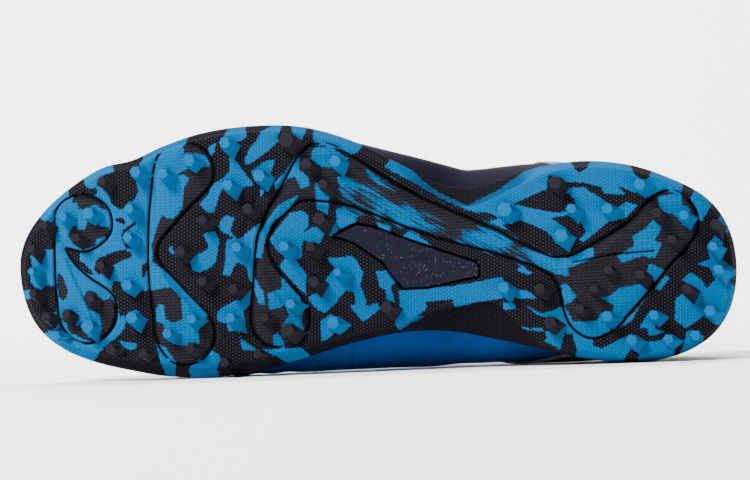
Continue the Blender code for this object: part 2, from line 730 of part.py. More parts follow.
for thing in list(bpy.data.objects):
    if thing is not axes:
        thing.parent = axes
    if thing.type == "MESH":
        thing.data.shade_smooth()
        thing.data.set_sharp_from_angle(angle=math.radians(32))

# Finishes: colours as the photo shows them.
FINISH = {
    # piece: red, green, blue, roughness
    "outsole": (0.020, 0.340, 0.760, 0.48),
    "arch_plate": (0.028, 0.024, 0.048, 0.30),
    "upper": (0.010, 0.110, 0.330, 0.40),
    "heel_counter": (0.040, 0.036, 0.048, 0.42),
    "insole": (0.030, 0.034, 0.050, 0.90),
    "tongue": (0.012, 0.060, 0.180, 0.75),
    "laces": (0.016, 0.014, 0.024, 0.80),
}
for name, thing in ROLE.items():
    red, green, blue, rough = FINISH[name]
    finish = bpy.data.materials.new(name)
    finish.use_nodes = True
    shader = finish.node_tree.nodes["Principled BSDF"]
    shader.inputs["Base Color"].default_value = (red, green, blue, 1.0)
    shader.inputs["Roughness"].default_value = rough
    thing.data.materials.append(finish)

# Prints how the shoe lies, the flat tips of two studs to set it down on, and its mass centre.
for row in frame:
    print("frame", " ".join("%.6f" % value for value in row))
for label, number in (("forefoot_tread", 30), ("heel_tread", 60)):
    along, across, width = STUDS[number]
    tip = frame @ Vector((along * LENGTH, across * BALL_WIDTH,
                          max(level(1, along) - STUD_HEIGHT, 0.0)))
    axis = (frame.to_3x3() @ Vector((0.0, 0.0, -1.0))).normalized()
    print(label, "pos %.5f %.5f %.5f" % tuple(tip), "axis %.5f %.5f %.5f" % tuple(axis))
print("mass centre", " ".join("%.4f" % v for v in frame @ (to_row.transposed() @ centre)),
      "mass %.3f" % abs(mass))
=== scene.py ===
# A turf football shoe for the left foot, lying on its medial side with the sole towards the camera.
import json
import math
import bmesh
import bpy
import numpy as np
from mathutils import Matrix, Vector


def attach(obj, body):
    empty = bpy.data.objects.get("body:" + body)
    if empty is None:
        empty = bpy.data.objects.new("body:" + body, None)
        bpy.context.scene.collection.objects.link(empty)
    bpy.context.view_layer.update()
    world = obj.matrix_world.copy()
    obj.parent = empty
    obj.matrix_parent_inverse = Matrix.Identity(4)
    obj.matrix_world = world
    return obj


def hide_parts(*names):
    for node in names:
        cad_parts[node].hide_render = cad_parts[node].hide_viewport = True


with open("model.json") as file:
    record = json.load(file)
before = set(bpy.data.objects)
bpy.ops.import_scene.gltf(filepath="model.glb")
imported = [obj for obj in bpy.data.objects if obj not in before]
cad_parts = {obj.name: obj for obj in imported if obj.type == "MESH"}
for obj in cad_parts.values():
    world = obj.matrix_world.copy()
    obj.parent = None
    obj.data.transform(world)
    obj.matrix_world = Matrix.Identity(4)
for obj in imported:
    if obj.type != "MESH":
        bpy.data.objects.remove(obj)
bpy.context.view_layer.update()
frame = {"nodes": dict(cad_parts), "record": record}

# Lay of the shoe. The last is measured along from the heel back, across from its centre line to
# the lateral side, and up from the studs' feet. Two studs whose places are in the record show how
# it lies on the floor.
LENGTH = 0.290
BALL_WIDTH = 0.1005
HEEL_HEIGHT = 0.082
INSTEP_HEIGHT = 0.0875
FOREFOOT_STUD = (0.692, 0.059)
HEEL_STUD = (0.203, -0.106)

mounts = {mount["name"]: mount for mount in frame["record"]["mounts"]}
front = Vector(mounts["forefoot_tread"]["pos_m"])
rear = Vector(mounts["heel_tread"]["pos_m"])
shoe_up = -Vector(mounts["forefoot_tread"]["axis"]).normalized()
chord = (front - rear).normalized()
square_to_chord = shoe_up.cross(chord)
skew = math.atan2((FOREFOOT_STUD[1] - HEEL_STUD[1]) * BALL_WIDTH,
                  (FOREFOOT_STUD[0] - HEEL_STUD[0]) * LENGTH)
shoe_along = (chord * math.cos(skew) - square_to_chord * math.sin(skew)).normalized()
shoe_across = shoe_up.cross(shoe_along)
lay = Matrix((shoe_along, shoe_across, shoe_up)).transposed().to_4x4()
lay.translation = rear - (lay.to_3x3() @ Vector((HEEL_STUD[0] * LENGTH, HEEL_STUD[1] * BALL_WIDTH, 0)))
TO_ROW = np.array(lay)


def laid(points):
    """Points of the last as points on the floor."""
    points = np.asarray(points, float).reshape(-1, 3)
    return points @ TO_ROW[:3, :3].T + TO_ROW[:3, 3]


# Outsole. One moulding of rubber in two mixed colours: a cup with a thin lip round the upper, a
# ground of small raised dots, three winding channels, and hexagonal studs. It is pressed in a
# heated mould and cemented to the lasted upper.
TOE_SPRING = 0.0135
SOLE_DEPTH = 0.0060
CUP_DEPTH = 0.0096
STUD_HEIGHT = 0.0055
STUD_TIP = 0.0048
STUD_TAPER = 0.0017
LIP = 0.0018
FLARE = 0.0009
WALL = 0.0020
CLEARANCE = 0.0003
INSOLE = 0.0048
PLATE = 0.0012
GROOVE_WIDTH = 0.0008
GROOVE_DEPTH = 0.0009
CHANNEL_DOME = 0.0007

# Plan of the sole's rim and how far the tread lies inside it, as shares of the ball width.
PLAN = [
    # along, rim lateral, rim medial, inset lateral, inset medial
    (0.000, -0.036, -0.036, 0.026, 0.026),
    (0.012, 0.139, -0.204, 0.026, 0.026),
    (0.041, 0.252, -0.308, 0.026, 0.026),
    (0.090, 0.331, -0.378, 0.026, 0.026),
    (0.155, 0.391, -0.402, 0.026, 0.026),
    (0.214, 0.404, -0.384, 0.026, 0.026),
    (0.269, 0.384, -0.352, 0.028, 0.028),
    (0.317, 0.343, -0.320, 0.044, 0.080),
    (0.348, 0.313, -0.302, 0.060, 0.135),
    (0.376, 0.296, -0.286, 0.070, 0.115),
    (0.407, 0.308, -0.276, 0.054, 0.086),
    (0.469, 0.393, -0.284, 0.034, 0.040),
    (0.534, 0.484, -0.324, 0.028, 0.038),
    (0.603, 0.539, -0.386, 0.026, 0.042),
    (0.672, 0.543, -0.440, 0.026, 0.046),
    (0.741, 0.515, -0.462, 0.026, 0.048),
    (0.800, 0.458, -0.454, 0.026, 0.048),
    (0.838, 0.408, -0.436, 0.026, 0.046),
    (0.876, 0.383, -0.414, 0.026, 0.040),
    (0.931, 0.289, -0.360, 0.026, 0.030),
    (0.976, 0.165, -0.256, 0.026, 0.026),
    (1.000, -0.016, -0.016, 0.026, 0.026),
]

# Heights along the sole, as shares of toe spring, sole depth, cup depth and instep height.
LEVELS = [
    # along, lift, depth, cup, widest
    (0.00, 0.230, 1.067, 1.042, 0.171),
    (0.04, 0.081, 1.133, 1.063, 0.187),
    (0.10, 0.007, 1.100, 1.083, 0.199),
    (0.22, 0.000, 1.050, 1.021, 0.210),
    (0.30, 0.111, 0.967, 1.021, 0.222),
    (0.36, 0.244, 0.900, 0.958, 0.224),
    (0.43, 0.230, 0.867, 0.917, 0.210),
    (0.52, 0.081, 0.833, 0.854, 0.185),
    (0.60, 0.007, 0.800, 0.771, 0.151),
    (0.70, 0.000, 0.783, 0.750, 0.121),
    (0.78, 0.067, 0.767, 0.750, 0.107),
    (0.86, 0.289, 0.733, 0.771, 0.101),
    (0.94, 0.644, 0.700, 0.792, 0.086),
    (1.00, 1.000, 0.667, 0.792, 0.069),
]

# Studs: place along, place across, and width of the tip as a share of the usual one.
STUDS = [
    (0.960, 0.147, 0.83), (0.978, 0.050, 0.75), (0.978, -0.038, 0.71), (0.976, -0.126, 0.79),
    (0.957, -0.219, 0.88), (0.943, -0.295, 0.96),
    (0.933, 0.178, 0.92), (0.897, 0.192, 1.13), (0.915, 0.095, 0.90), (0.895, -0.147, 0.92),
    (0.928, -0.208, 0.88), (0.898, -0.255, 1.25), (0.878, 0.321, 0.88), (0.831, 0.356, 1.08),
    (0.840, 0.211, 0.96), (0.842, 0.097, 0.96), (0.880, -0.014, 0.88), (0.843, -0.092, 1.08),
    (0.836, -0.221, 1.13), (0.865, -0.344, 0.92), (0.820, -0.363, 0.92), (0.757, 0.401, 1.17),
    (0.793, 0.348, 1.00), (0.753, -0.225, 0.94), (0.787, -0.282, 0.94), (0.755, -0.337, 0.92),
    (0.708, 0.470, 1.08), (0.704, 0.304, 1.04), (0.739, 0.166, 0.94), (0.769, 0.042, 1.00),
    (0.692, 0.059, 1.00), (0.739, -0.076, 0.92), (0.697, -0.106, 0.94), (0.700, -0.221, 0.96),
    (0.709, -0.396, 0.92), (0.624, 0.482, 1.46), (0.661, 0.341, 1.17), (0.677, 0.211, 1.00),
    (0.597, 0.387, 1.08), (0.557, 0.398, 1.13), (0.574, 0.308, 0.92), (0.579, 0.171, 1.21),
    (0.627, 0.063, 1.00), (0.591, 0.061, 0.96), (0.554, -0.040, 0.79), (0.587, -0.077, 1.04),
    (0.654, -0.218, 0.88), (0.618, -0.165, 0.98), (0.622, -0.270, 1.29), (0.560, -0.240, 1.25),
    (0.663, -0.361, 0.83), (0.487, -0.176, 1.13),
    (0.325, 0.207, 1.42), (0.256, 0.315, 1.25), (0.234, 0.211, 0.96), (0.248, 0.105, 1.29),
    (0.326, -0.101, 1.08), (0.277, -0.106, 1.00), (0.263, -0.239, 1.13), (0.223, -0.184, 0.96),
    (0.203, -0.106, 0.83), (0.185, 0.211, 1.08), (0.141, 0.306, 1.13), (0.118, 0.194, 1.00),
    (0.080, 0.185, 0.96), (0.097, 0.090, 0.88), (0.184, -0.030, 0.88), (0.140, -0.050, 0.92),
    (0.185, -0.214, 1.04), (0.036, 0.150, 0.92), (0.040, 0.062, 0.88), (0.032, -0.030, 0.96),
    (0.076, -0.105, 0.92), (0.044, -0.193, 1.08), (0.121, -0.210, 0.96), (0.151, -0.309, 1.04),
    (0.101, -0.305, 0.96), (0.064, -0.290, 0.96),
]

# The two rubbers meet in a camouflage. Patches are laid in this order on the dark rubber, and each
# is an outline in millimetres along from the heel back and across from the centre line.
CAMOUFLAGE = [
    # Toe.
    ("blue", [(282.7, 17.4), (277.8, 23.1), (268.9, 30.4), (262.4, 34.1), (257.6, 37.3), (252.7, 39.3),
        (248.6, 39.3), (247.8, 38.1), (250.3, 36.1), (253.5, 34.9), (255.9, 33.7), (257.2, 30.8),
        (254.3, 29.2), (252.3, 26.4), (251.1, 23.1), (248.6, 21.1), (246.2, 21.1), (244.6, 23.9),
        (242.1, 25.6), (240.9, 29.2), (241.3, 32.9), (243.4, 34.5), (242.5, 37.3), (240.1, 38.5),
        (237.3, 42.6), (234.4, 45.4), (234.8, 25.1), (236.5, 4.9), (236.5, -11.4), (244.2, -11.8), (247,
        -10.1), (247.8, -7.7), (250.3, -7.7), (251.5, -11), (249, -15.4), (247.8, -22.7), (246.2,
        -21.1), (245.4, -24.3), (246.6, -27.6), (249.8, -30.8), (252.7, -32.4), (255.5, -35.7), (258.8,
        -38.1), (263.6, -38.5), (268.1, -37.7), (273, -34.5), (279.9, -30.8), (279.1, -28), (274.6,
        -27.2), (276.2, -22.7), (274.2, -19.5), (274.2, -9.7), (278.6, -9.7), (280.3, -11.4), (284.3,
        -9.7), (285.1, -6.9), (283.9, -3.2), (284.7, 0), (285.1, 2.4), (281.1, 4.9), (275.4, 4.9), (275,
        10.1), (277.8, 11.8), (278.6, 16.2)]),
    ("dark", [(268.9, 30.4), (262.8, 33.7), (262, 30.8), (260.8, 29.2), (257.6, 30), (257.2, 28),
        (258.4, 26.4), (262.4, 27.2), (265.7, 26.8), (268.5, 26)]),
    ("dark", [(268.9, 24.7), (265.7, 26.4), (260.8, 26.8), (256.7, 25.1), (254.3, 22.7), (252.7, 20.7),
        (255.5, 21.5), (257.6, 23.1), (260.8, 21.9), (263.2, 21.1), (264.5, 21.5), (265.3, 23.5)]),
    ("dark", [(252.7, 39.7), (245.4, 40.2), (237.3, 43), (240.1, 38.5), (242.5, 37.3), (243.8, 34.5),
        (241.3, 32.9), (240.9, 29.2), (242.1, 25.6), (245, 23.9), (246.2, 21.5), (249.4, 21.9), (251.9,
        26), (253.5, 28.8), (256.7, 30.4), (256.7, 32.9), (254.3, 34.9), (250.3, 36.1), (247.8, 38.1)]),
    ("dark", [(269.3, 11), (266.5, 15), (264.9, 13), (262.4, 12.6), (260.8, 16.6), (256.7, 17), (256.3,
        14.6), (252.7, 13.8), (251.9, 12.2), (253.1, 10.1), (257.6, 9.3), (258, 6.5), (262.8, 4.9),
        (266.9, 6.9)]),
    ("dark", [(270.5, 5.3), (267.3, 5.7), (264, 4.1), (264.5, 0.8), (259.6, -3.2), (258.4, -5.3),
        (261.6, -4.5), (265.7, -1.2), (268.9, 2)]),
    ("dark", [(257.6, 0.8), (252.7, 3.2), (247.4, 4.9), (243.4, 4.1), (243, 2), (248.6, 0), (251.9,
        -2.4), (256.3, -5.3), (258.4, -3.2)]),
    ("dark", [(250.3, 17.4), (247.4, 17.8), (245.4, 16.2), (246.2, 15), (249, 16.2)]),
    ("dark", [(247, 12.2), (244.2, 14.6), (241.3, 16.2), (241.3, 15), (246.2, 11.4), (245, 8.5), (242.5,
        5.3), (245.4, 5.3), (247, 8.5)]),
    ("dark", [(238.9, -1.2), (236.5, 0), (237.3, -5.3), (238.9, -6.5)]),
    ("dark", [(273.4, -3.7), (271.3, -6.1), (269.3, -11.4), (269.7, -14.2), (271.3, -15.8), (273,
        -13.8), (273.8, -8.9)]),
    ("dark", [(261.6, -17.4), (257.6, -16.6), (251.5, -14.2), (249, -17.8), (249, -23.5), (250.3,
        -26.8), (252.7, -29.2), (255.9, -31.2), (259.6, -32), (260.8, -30.8), (255.9, -28.4), (255.1,
        -26), (256.3, -20.7), (260.4, -19.1)]),
    ("dark", [(270.5, -23.1), (266.9, -22.7), (266.5, -26.4), (263.2, -24.3), (262.4, -26.8), (260,
        -32), (264, -30.4), (268.5, -28.4)]),
    ("blue", [(248.2, -31.6), (244.2, -32), (240.9, -32.4), (241.3, -34.9), (243.8, -35.3), (246.6,
        -34.1)]),
    # Forefoot, around the second channel.
    ("blue", [(237.3, 42.6), (232.4, 47.9), (227.1, 49.5), (219.4, 50.7), (221.1, 47.5), (222.3, 46.2),
        (221.9, 43.4), (217, 43.4), (212.9, 42.2), (211.3, 38.1), (219, 37.7), (222.7, 36.1), (225.9,
        34.1), (221.9, 34.9), (219.8, 33.3), (221.9, 29.2), (222.7, 21.1), (225.9, 17.4), (228.4, 17.4),
        (230.8, 18.7), (233.2, 13), (234.8, 6.9), (234.4, 0), (231.2, -2.4), (227.1, -5.3), (221.1,
        -11.4), (215.8, -16.6), (211.7, -21.1), (214.6, -23.1), (216.2, -25.6), (215.8, -31.6), (217,
        -33.3), (224.3, -33.3), (228.4, -31.2), (230, -29.2), (230, -24.7), (233.2, -23.5), (233.2,
        -18.7), (232, -16.6), (230, -17.4), (229.2, -22.7), (226.3, -24.3), (222.3, -22.7), (223.1,
        -14.2), (226.7, -10.1), (231.2, -10.5), (234, -11.4), (236.5, -11.4), (236.5, 25.1)]),
    ("blue", [(212.5, 45.4), (208.9, 48.3), (209.7, 43.8), (211.3, 42.2)]),
    ("blue", [(207.3, 49.1), (203.2, 53.5), (197.5, 53.1), (196.7, 49.5), (200.4, 47.9), (204, 45.4),
        (208.1, 47.9)]),
    ("blue", [(204, 44.2), (198.3, 36.5), (193.9, 30.4), (198.7, 30), (200.8, 27.2), (206.9, 29.2),
        (208.1, 25.6), (210.1, 19.5), (212.9, 19.9), (215.8, 23.1), (212.9, 26), (210.1, 31.2), (206.5,
        33.3), (203.6, 36.5)]),
    ("blue", [(197.9, 40.2), (195.9, 45.4), (191.8, 49.9), (183.3, 49.1), (188.2, 44.6), (193.5, 40.2),
        (197.5, 38.5)]),
    ("blue", [(191.8, 51.9), (184.5, 53.9), (179.7, 54.8), (172.4, 53.9), (175.2, 48.7), (174.8, 45.4),
        (176.4, 43.4), (179.3, 46.6), (176.8, 49.5), (180.1, 53.5), (182.9, 53.5), (185, 49.5), (191.8,
        49.9)]),
    ("blue", [(195.1, 36.5), (188.6, 40.6), (185.8, 40.6), (187, 36.5), (188.2, 32.9), (191.8, 31.6),
        (194.3, 33.3)]),
    ("blue", [(176.8, 43.4), (175.6, 41.4), (176, 36.9), (172.4, 34.1), (172, 30.4), (175.2, 29.2),
        (177.7, 34.1), (180.5, 33.3), (183.3, 29.2), (185.4, 29.2), (186.2, 31.2), (181.3, 36.5)]),
    ("blue", [(191.8, 29.6), (189.8, 28.8), (191, 25.1)]),
    ("blue", [(205.6, 18.7), (201.6, 17.8), (203.6, 12.6), (200.8, 8.9), (207.7, 12.6), (208.5, 14.6)]),
    ("blue", [(227.9, 6.5), (226.7, 6.5), (225.1, 1.6), (227.9, 4.1)]),
    ("blue", [(214.2, 11.4), (209.7, 12.2), (207.7, 8.9), (209.3, 0), (211.7, -2.4), (215.8, -4.1),
        (218.6, -3.2), (219.8, 2), (215, 3.7), (212.1, 5.7)]),
    ("blue", [(205.2, 8.9), (198.7, 9.7), (195.9, 12.6), (191, 16.2), (193.1, 8.9), (194.7, -9.3),
        (195.9, -6.5), (197.1, -1.6), (200.4, 0), (202.4, -2.4), (203.6, -5.7), (206.5, -4.9), (205.6,
        0)]),
    ("blue", [(193.5, 1.6), (191.8, 11), (188.6, 17), (184.1, 22.7), (176, 27.2), (180.5, 20.3), (186.6,
        16.2), (189.4, 9.7), (191, 1.6)]),
    ("blue", [(187.8, 8.9), (184.5, 13.8), (179.7, 19.5), (175.2, 20.7), (172.4, 18.7), (172.4, 14.2),
        (176.4, 8.9), (178.1, 4.1), (178.9, 2.8), (174.8, -2.4), (172.8, -5.3), (173.6, -9.3), (172.8,
        -13), (175.2, -11.4), (179.7, -6.9), (184.1, -1.6), (181.3, 2), (185.4, 4.9)]),
    ("blue", [(233.2, -32.4), (229.2, -34.1), (225.1, -40.2), (225.9, -45.4), (229.2, -44.2), (231.6,
        -39.7)]),
    ("blue", [(217.8, -40.2), (211.3, -34.9), (208.1, -36.9), (207.3, -38.5), (208.9, -42.2), (207.7,
        -45.8), (219, -46.2), (220.2, -42.2)]),
    ("blue", [(204, -16.6), (199.6, -14.6), (197.5, -11.4), (195.1, -11.4), (195.5, -16.6), (198.3,
        -19.5), (196.7, -28.4), (200.4, -27.6), (204, -27.6), (205.2, -24.3), (208.5, -23.5), (208.9,
        -20.7), (206.5, -17.8)]),
    ("blue", [(199.6, -29.6), (196.7, -32.4), (192.7, -34.9), (179.7, -34.5), (176.4, -33.7), (173.2,
        -34.9), (170.4, -37.7), (178.5, -38.9), (191.8, -35.7), (198.7, -34.9)]),
    ("blue", [(194.3, -5.3), (190.2, -11.8), (189.4, -17.4), (191.8, -16.6), (193.5, -13)]),
    ("blue", [(188.6, -12.2), (182.9, -10.5), (183.3, -5.3), (175.6, -14.2), (174.4, -19.5), (175.2,
        -23.5), (174, -26.8), (176.4, -28.8), (178.1, -24.3), (182.9, -26.4), (181.3, -22.7), (179.7,
        -21.5), (181.7, -17.4), (187.8, -19.1)]),
    ("blue", [(186.2, -29.2), (184.5, -27.6), (181.3, -33.7), (186.2, -33.3)]),
    # Ball, around the third channel and beside the hard plate.
    ("blue", [(171.2, 53.9), (164.3, 52.3), (158.2, 49.9), (149.7, 45.8), (152.1, 44.6), (154.5, 42.6),
        (162.2, 46.6), (169.9, 46.6)]),
    ("blue", [(170.4, 45.4), (164.3, 46.2), (156.6, 41.4), (158.2, 38.9), (162.2, 37.7), (169.5, 38.1),
        (171.6, 41.4)]),
    ("blue", [(169.9, 32), (167.5, 30), (164.3, 32), (163.9, 25.1), (164.7, 19.1), (169.1, 21.1)]),
    ("blue", [(161.4, 21.1), (158.6, 21.9), (155.3, 20.3), (152.5, 18.3), (153.7, 15.8), (159.4, 13.4),
        (161, 15)]),
    ("blue", [(171.6, 13.4), (164.3, 16.2), (162.2, 17), (160.6, 13), (162.2, 10.1), (166.3, 11),
        (167.9, 6.9), (174.4, 8.5), (175.2, 4.9), (174.8, 1.6), (177.7, 1.2), (179.7, 4.9), (177.2,
        9.7)]),
    ("blue", [(161, 34.1), (157, 34.1), (152.9, 29.2), (156.2, 28.4), (159.4, 30)]),
    ("blue", [(150.9, 29.2), (142, 25.1), (127.8, 17.8), (119.7, 12.2), (129.8, 14.6), (135.9, 13.8),
        (142, 19.1), (144.8, 17.4), (146.4, 21.9)]),
    ("blue", [(150.5, 38.1), (143.2, 33.3), (139.1, 30.4), (144.8, 30.8)]),
    ("blue", [(144.8, 15.8), (139.9, 14.6), (139.5, 10.5), (144, 13)]),
    ("blue", [(135.9, 9.7), (131.8, 12.2), (122.9, 6.5), (131.8, 7.7)]),
    ("blue", [(140.3, 38.9), (135.9, 37.3), (115.6, 25.1), (107.5, 21.5), (99.4, 17.4), (95.3, 14.2),
        (103.4, 17), (115.6, 22.3), (131.8, 30.4), (139.9, 34.1)]),
    ("blue", [(172, -15.4), (169.1, -18.7), (166.3, -20.3), (161.8, -17), (159.8, -13.8), (155.3, -8.9),
        (153.3, -5.3), (156.2, 0), (158.2, 2), (165.1, 1.6), (161.8, -2.4), (165.1, -6.5), (167.5,
        -11.4), (172.4, -13.8)]),
    ("blue", [(157.4, 2.8), (153.7, 1.6), (150.5, -4.1), (151.7, -9.3), (149.3, -15.4), (149.7, -17.8),
        (144.8, -16.2), (143.6, -18.7), (150.5, -23.9), (155.8, -17.4), (153.3, -16.6), (154.1, -12.2),
        (157, -11.4)]),
    ("blue", [(145.6, -3.7), (140.3, -3.2), (137.5, -7.7), (139.5, -10.1), (136.7, -20.3), (125.7,
        -21.9), (136.7, -25.6), (139.1, -22.7), (137.9, -19.5), (141.1, -15), (141.6, -11.4), (144,
        -9.7)]),
    ("blue", [(136.3, -11.4), (127.8, -10.5), (115.6, -9.7), (103.4, -7.7), (95.3, -5.7), (91.7, -10.5),
        (95.3, -14.6), (105.5, -16.2), (114, -18.3), (114.8, -15), (125.7, -15.8), (124.9, -18.7), (129,
        -21.5), (135.9, -21.1)]),
    ("blue", [(167.5, -23.5), (163.5, -20.7), (159, -23.9), (159.8, -26.4), (165.1, -31.2), (167.1,
        -31.2)]),
    # Waist and front of the heel.
    ("blue", [(110.7, 21.9), (103.4, 26), (95.3, 31.2), (83.1, 36.5), (75.8, 38.5), (68.1, 38.9), (64.5,
        35.7), (58.8, 38.9), (45.8, 39.7), (42.2, 34.9), (38.5, 32.4), (33.7, 36.1), (22.3, 32.9),
        (23.9, 26.8), (31.2, 28.4), (37.3, 25.6), (39.7, 29.2), (42.6, 27.6), (49.9, 30.8), (45.8,
        26.8), (54.8, 27.2), (55.6, 30), (62.9, 31.6), (68.1, 32), (71, 30.8), (72.6, 34.1), (77.1,
        34.9), (77.1, 29.2), (83.1, 26.8), (90.4, 23.1), (89.6, 19.5), (95.3, 17.4), (101.4, 19.9)]),
    ("blue", [(90.4, 23.1), (79.1, 20.7), (72.6, 19.5), (70.2, 20.3), (69.4, 23.5), (65.7, 21.9), (66.5,
        19.5), (75.8, 17.4), (70.2, 13.8), (68.1, 11.4), (70.2, 7.7), (73.4, 7.3), (77.1, 12.2), (87.2,
        16.6), (95.3, 15), (98.6, 16.2)]),
    ("blue", [(71, 29.2), (62.9, 30), (54.8, 24.7), (51.1, 22.3), (50.7, 17.8), (55.6, 13.8), (58.8,
        11), (62.9, 7.7), (64.5, 8.9), (61.7, 12.2), (65.7, 19.1), (66.1, 25.1)]),
    ("blue", [(50.3, 21.1), (45.8, 23.9), (41, 22.7), (45.8, 17.8), (49.9, 16.6)]),
    ("blue", [(107.5, 12.2), (103.4, 13.4), (91.3, 8.5), (95.3, 4.1), (99.4, 4.1), (110.3, 8.9)]),
    ("blue", [(87.6, 4.9), (79.1, 3.7), (69, 1.6), (58.8, 6.1), (58.8, 1.6), (69, -2.4), (68.5, -5.7),
        (74.2, -4.5), (84, 0)]),
    ("blue", [(89.2, -3.2), (87.2, -2), (83.1, -4.1), (84.4, -5.3)]),
    ("blue", [(92.1, -11.8), (85.2, -11), (81.1, -14.6), (89.2, -14.6)]),
    ("blue", [(95.3, -16.2), (90.4, -16.2), (89.6, -18.7), (94.1, -19.1)]),
    ("blue", [(88.8, -26), (79.1, -26.4), (77.1, -30), (78.3, -31.6), (71.8, -34.5), (70.2, -28), (66.1,
        -31.6), (64.9, -36.9), (58.8, -38.5), (58.8, -31.6), (66.9, -23.5), (70.2, -17.4), (79.1,
        -20.7), (85.6, -17.4), (81.1, -21.1), (73.4, -23.5), (75.8, -27.6), (83.1, -27.6)]),
    ("blue", [(71.8, -9.3), (69.8, -8.5), (65.3, -13.4), (68.1, -16.2), (70.2, -17)]),
    ("dark", [(70.2, -28.8), (66.9, -28.4), (66.5, -33.7), (66.9, -36.5), (71, -34.9)]),
    ("dark", [(88.8, 23.5), (83.1, 26), (77.1, 28), (68.5, 23.9), (73, 19.5), (87.2, 22.7)]),
    # Heel.
    ("blue", [(33.3, 26), (27.2, 27.2), (23.5, 26.8), (23.5, 23.1), (20.7, 21.9), (19.9, 17.8), (22.7,
        14.6), (27.2, 19.5), (31.6, 19.5)]),
    ("blue", [(17.4, 29.6), (14.2, 28), (9.7, 22.7), (12.2, 21.9), (15.8, 15.8), (18.3, 21.1), (20.3,
        25.1)]),
    ("blue", [(9.3, 17), (7.3, 19.1), (5.3, 17.4), (2.8, 11), (8.5, 12.2)]),
    ("blue", [(13, 7.3), (9.7, 10.5), (6.9, 7.7), (8.5, 1.6), (5.3, -0.4), (1.2, -4.1), (4.1, -7.7),
        (1.2, -11.4), (2.8, -19.5), (8.9, -24.7), (14.2, -21.1), (21.9, -26.4), (26.4, -23.1), (26,
        -14.6), (19.5, -10.1), (23.5, -6.9), (19.9, -4.1), (15.8, -6.9), (13.4, -10.5), (9.7, -6.9),
        (12.6, -2), (17.4, -0.8), (12.2, 1.2)]),
    ("blue", [(34.9, 17), (31.2, 14.2), (34.5, 8.9), (31.6, 7.3), (34.1, 1.6), (39.7, 2.4), (47.5,
        -0.4), (49.5, 2.4), (42.6, 6.5), (43.4, 10.5), (38.1, 13.4)]),
    ("blue", [(37.7, -3.2), (36.5, -0.4), (30, -3.2), (33.7, -8.5)]),
    ("blue", [(30, -5.3), (28.4, -6.5), (32.4, -11.4), (34.1, -10.5)]),
    ("blue", [(48.3, -10.1), (38.1, -8.5), (36.9, -11.4), (49.5, -26.4), (52.7, -24.3), (50.7, -17.4),
        (56, -14.2), (52.3, -13.4)]),
    ("blue", [(57.2, -23.5), (56, -19.9), (51.1, -20.3), (52.3, -27.6), (58.8, -30.4), (64.9, -29.6),
        (67.7, -23.9), (62.9, -23.5)]),
    ("blue", [(39.3, -16.2), (43.8, -23.5), (49.1, -26.8)]),
    ("blue", [(62.9, -31.6), (55.6, -34.5), (47.5, -30.4), (43.8, -28.8), (41.4, -32), (45.8, -36.9),
        (46.6, -40.2), (54.8, -39.7), (64.9, -37.3)]),
    ("blue", [(39.7, -32.4), (28, -30.4), (28.4, -27.6), (36.5, -29.6), (37.7, -26), (41, -26.8), (36.5,
        -19.5), (32.4, -21.1), (34.5, -26.4), (27.2, -28.8), (26.8, -32.9), (26, -37.3), (33.7, -39.7),
        (40.2, -38.5), (41.4, -35.7)]),
    ("blue", [(26, -37.3), (23.1, -33.7), (21.5, -27.6), (19.5, -26.8), (15, -30), (15.4, -33.7), (24.3,
        -38.1)]),
    ("blue", [(140.0, 40.4), (128.0, 34.3), (119.7, 28.3), (108.7, 23.3), (97.0, 29.0), (96.0, 26.0),
              (100.0, 19.5), (109.0, 20.8), (120.0, 25.8), (130.0, 31.8), (142.0, 38.0)]),
    ("dark", [(141.0, 35.0), (130.0, 29.5), (119.0, 24.0), (109.0, 18.5), (99.0, 15.5), (101.0, 18.5),
              (109.0, 20.8), (120.0, 25.6), (130.0, 31.6), (142.0, 37.6)]),
    ("dark", [(251.9, 38.9), (249.0, 38.9), (246.6, 36.5), (245.0, 33.3), (241.7, 31.6), (240.5,
              28.4), (241.7, 25.1), (245.0, 23.5), (247.0, 24.7), (243.8, 26.0), (243.0, 28.8),
              (244.6, 30.8), (247.8, 32.4), (249.8, 35.7)]),
    ("dark", [(138.0, 39.5), (128.0, 33.5), (119.7, 27.5), (108.7, 22.5), (97.0, 28.5), (87.0, 35.5),
              (77.0, 40.5), (77.0, 54.0), (138.0, 54.0)]),
]

# Round patches under single studs, in millimetres.
STUD_DABS = [
    # colour, along, across, radius
    ("dark", 259.6, -14.6, 3.0), ("dark", 269.1, -21.9, 2.6), ("blue", 285.5, -13.0, 1.8),
    ("blue", 242.1, -22.3, 3.2), ("dark", 74.2, 31.6, 2.6),
]

# The corridor beside the hard plate where the two rubbers are drawn out into brush strokes.
STREAKED = [(97.0, 18.0), (108.0, 17.0), (119.0, 21.5), (128.0, 27.5), (140.0, 34.5), (150.0, 38.0),
            (168.0, 30.0), (158.0, 17.0), (138.0, 12.0), (110.0, 2.0), (86.0, -4.0), (76.0, 2.0),
            (88.0, 14.0)]

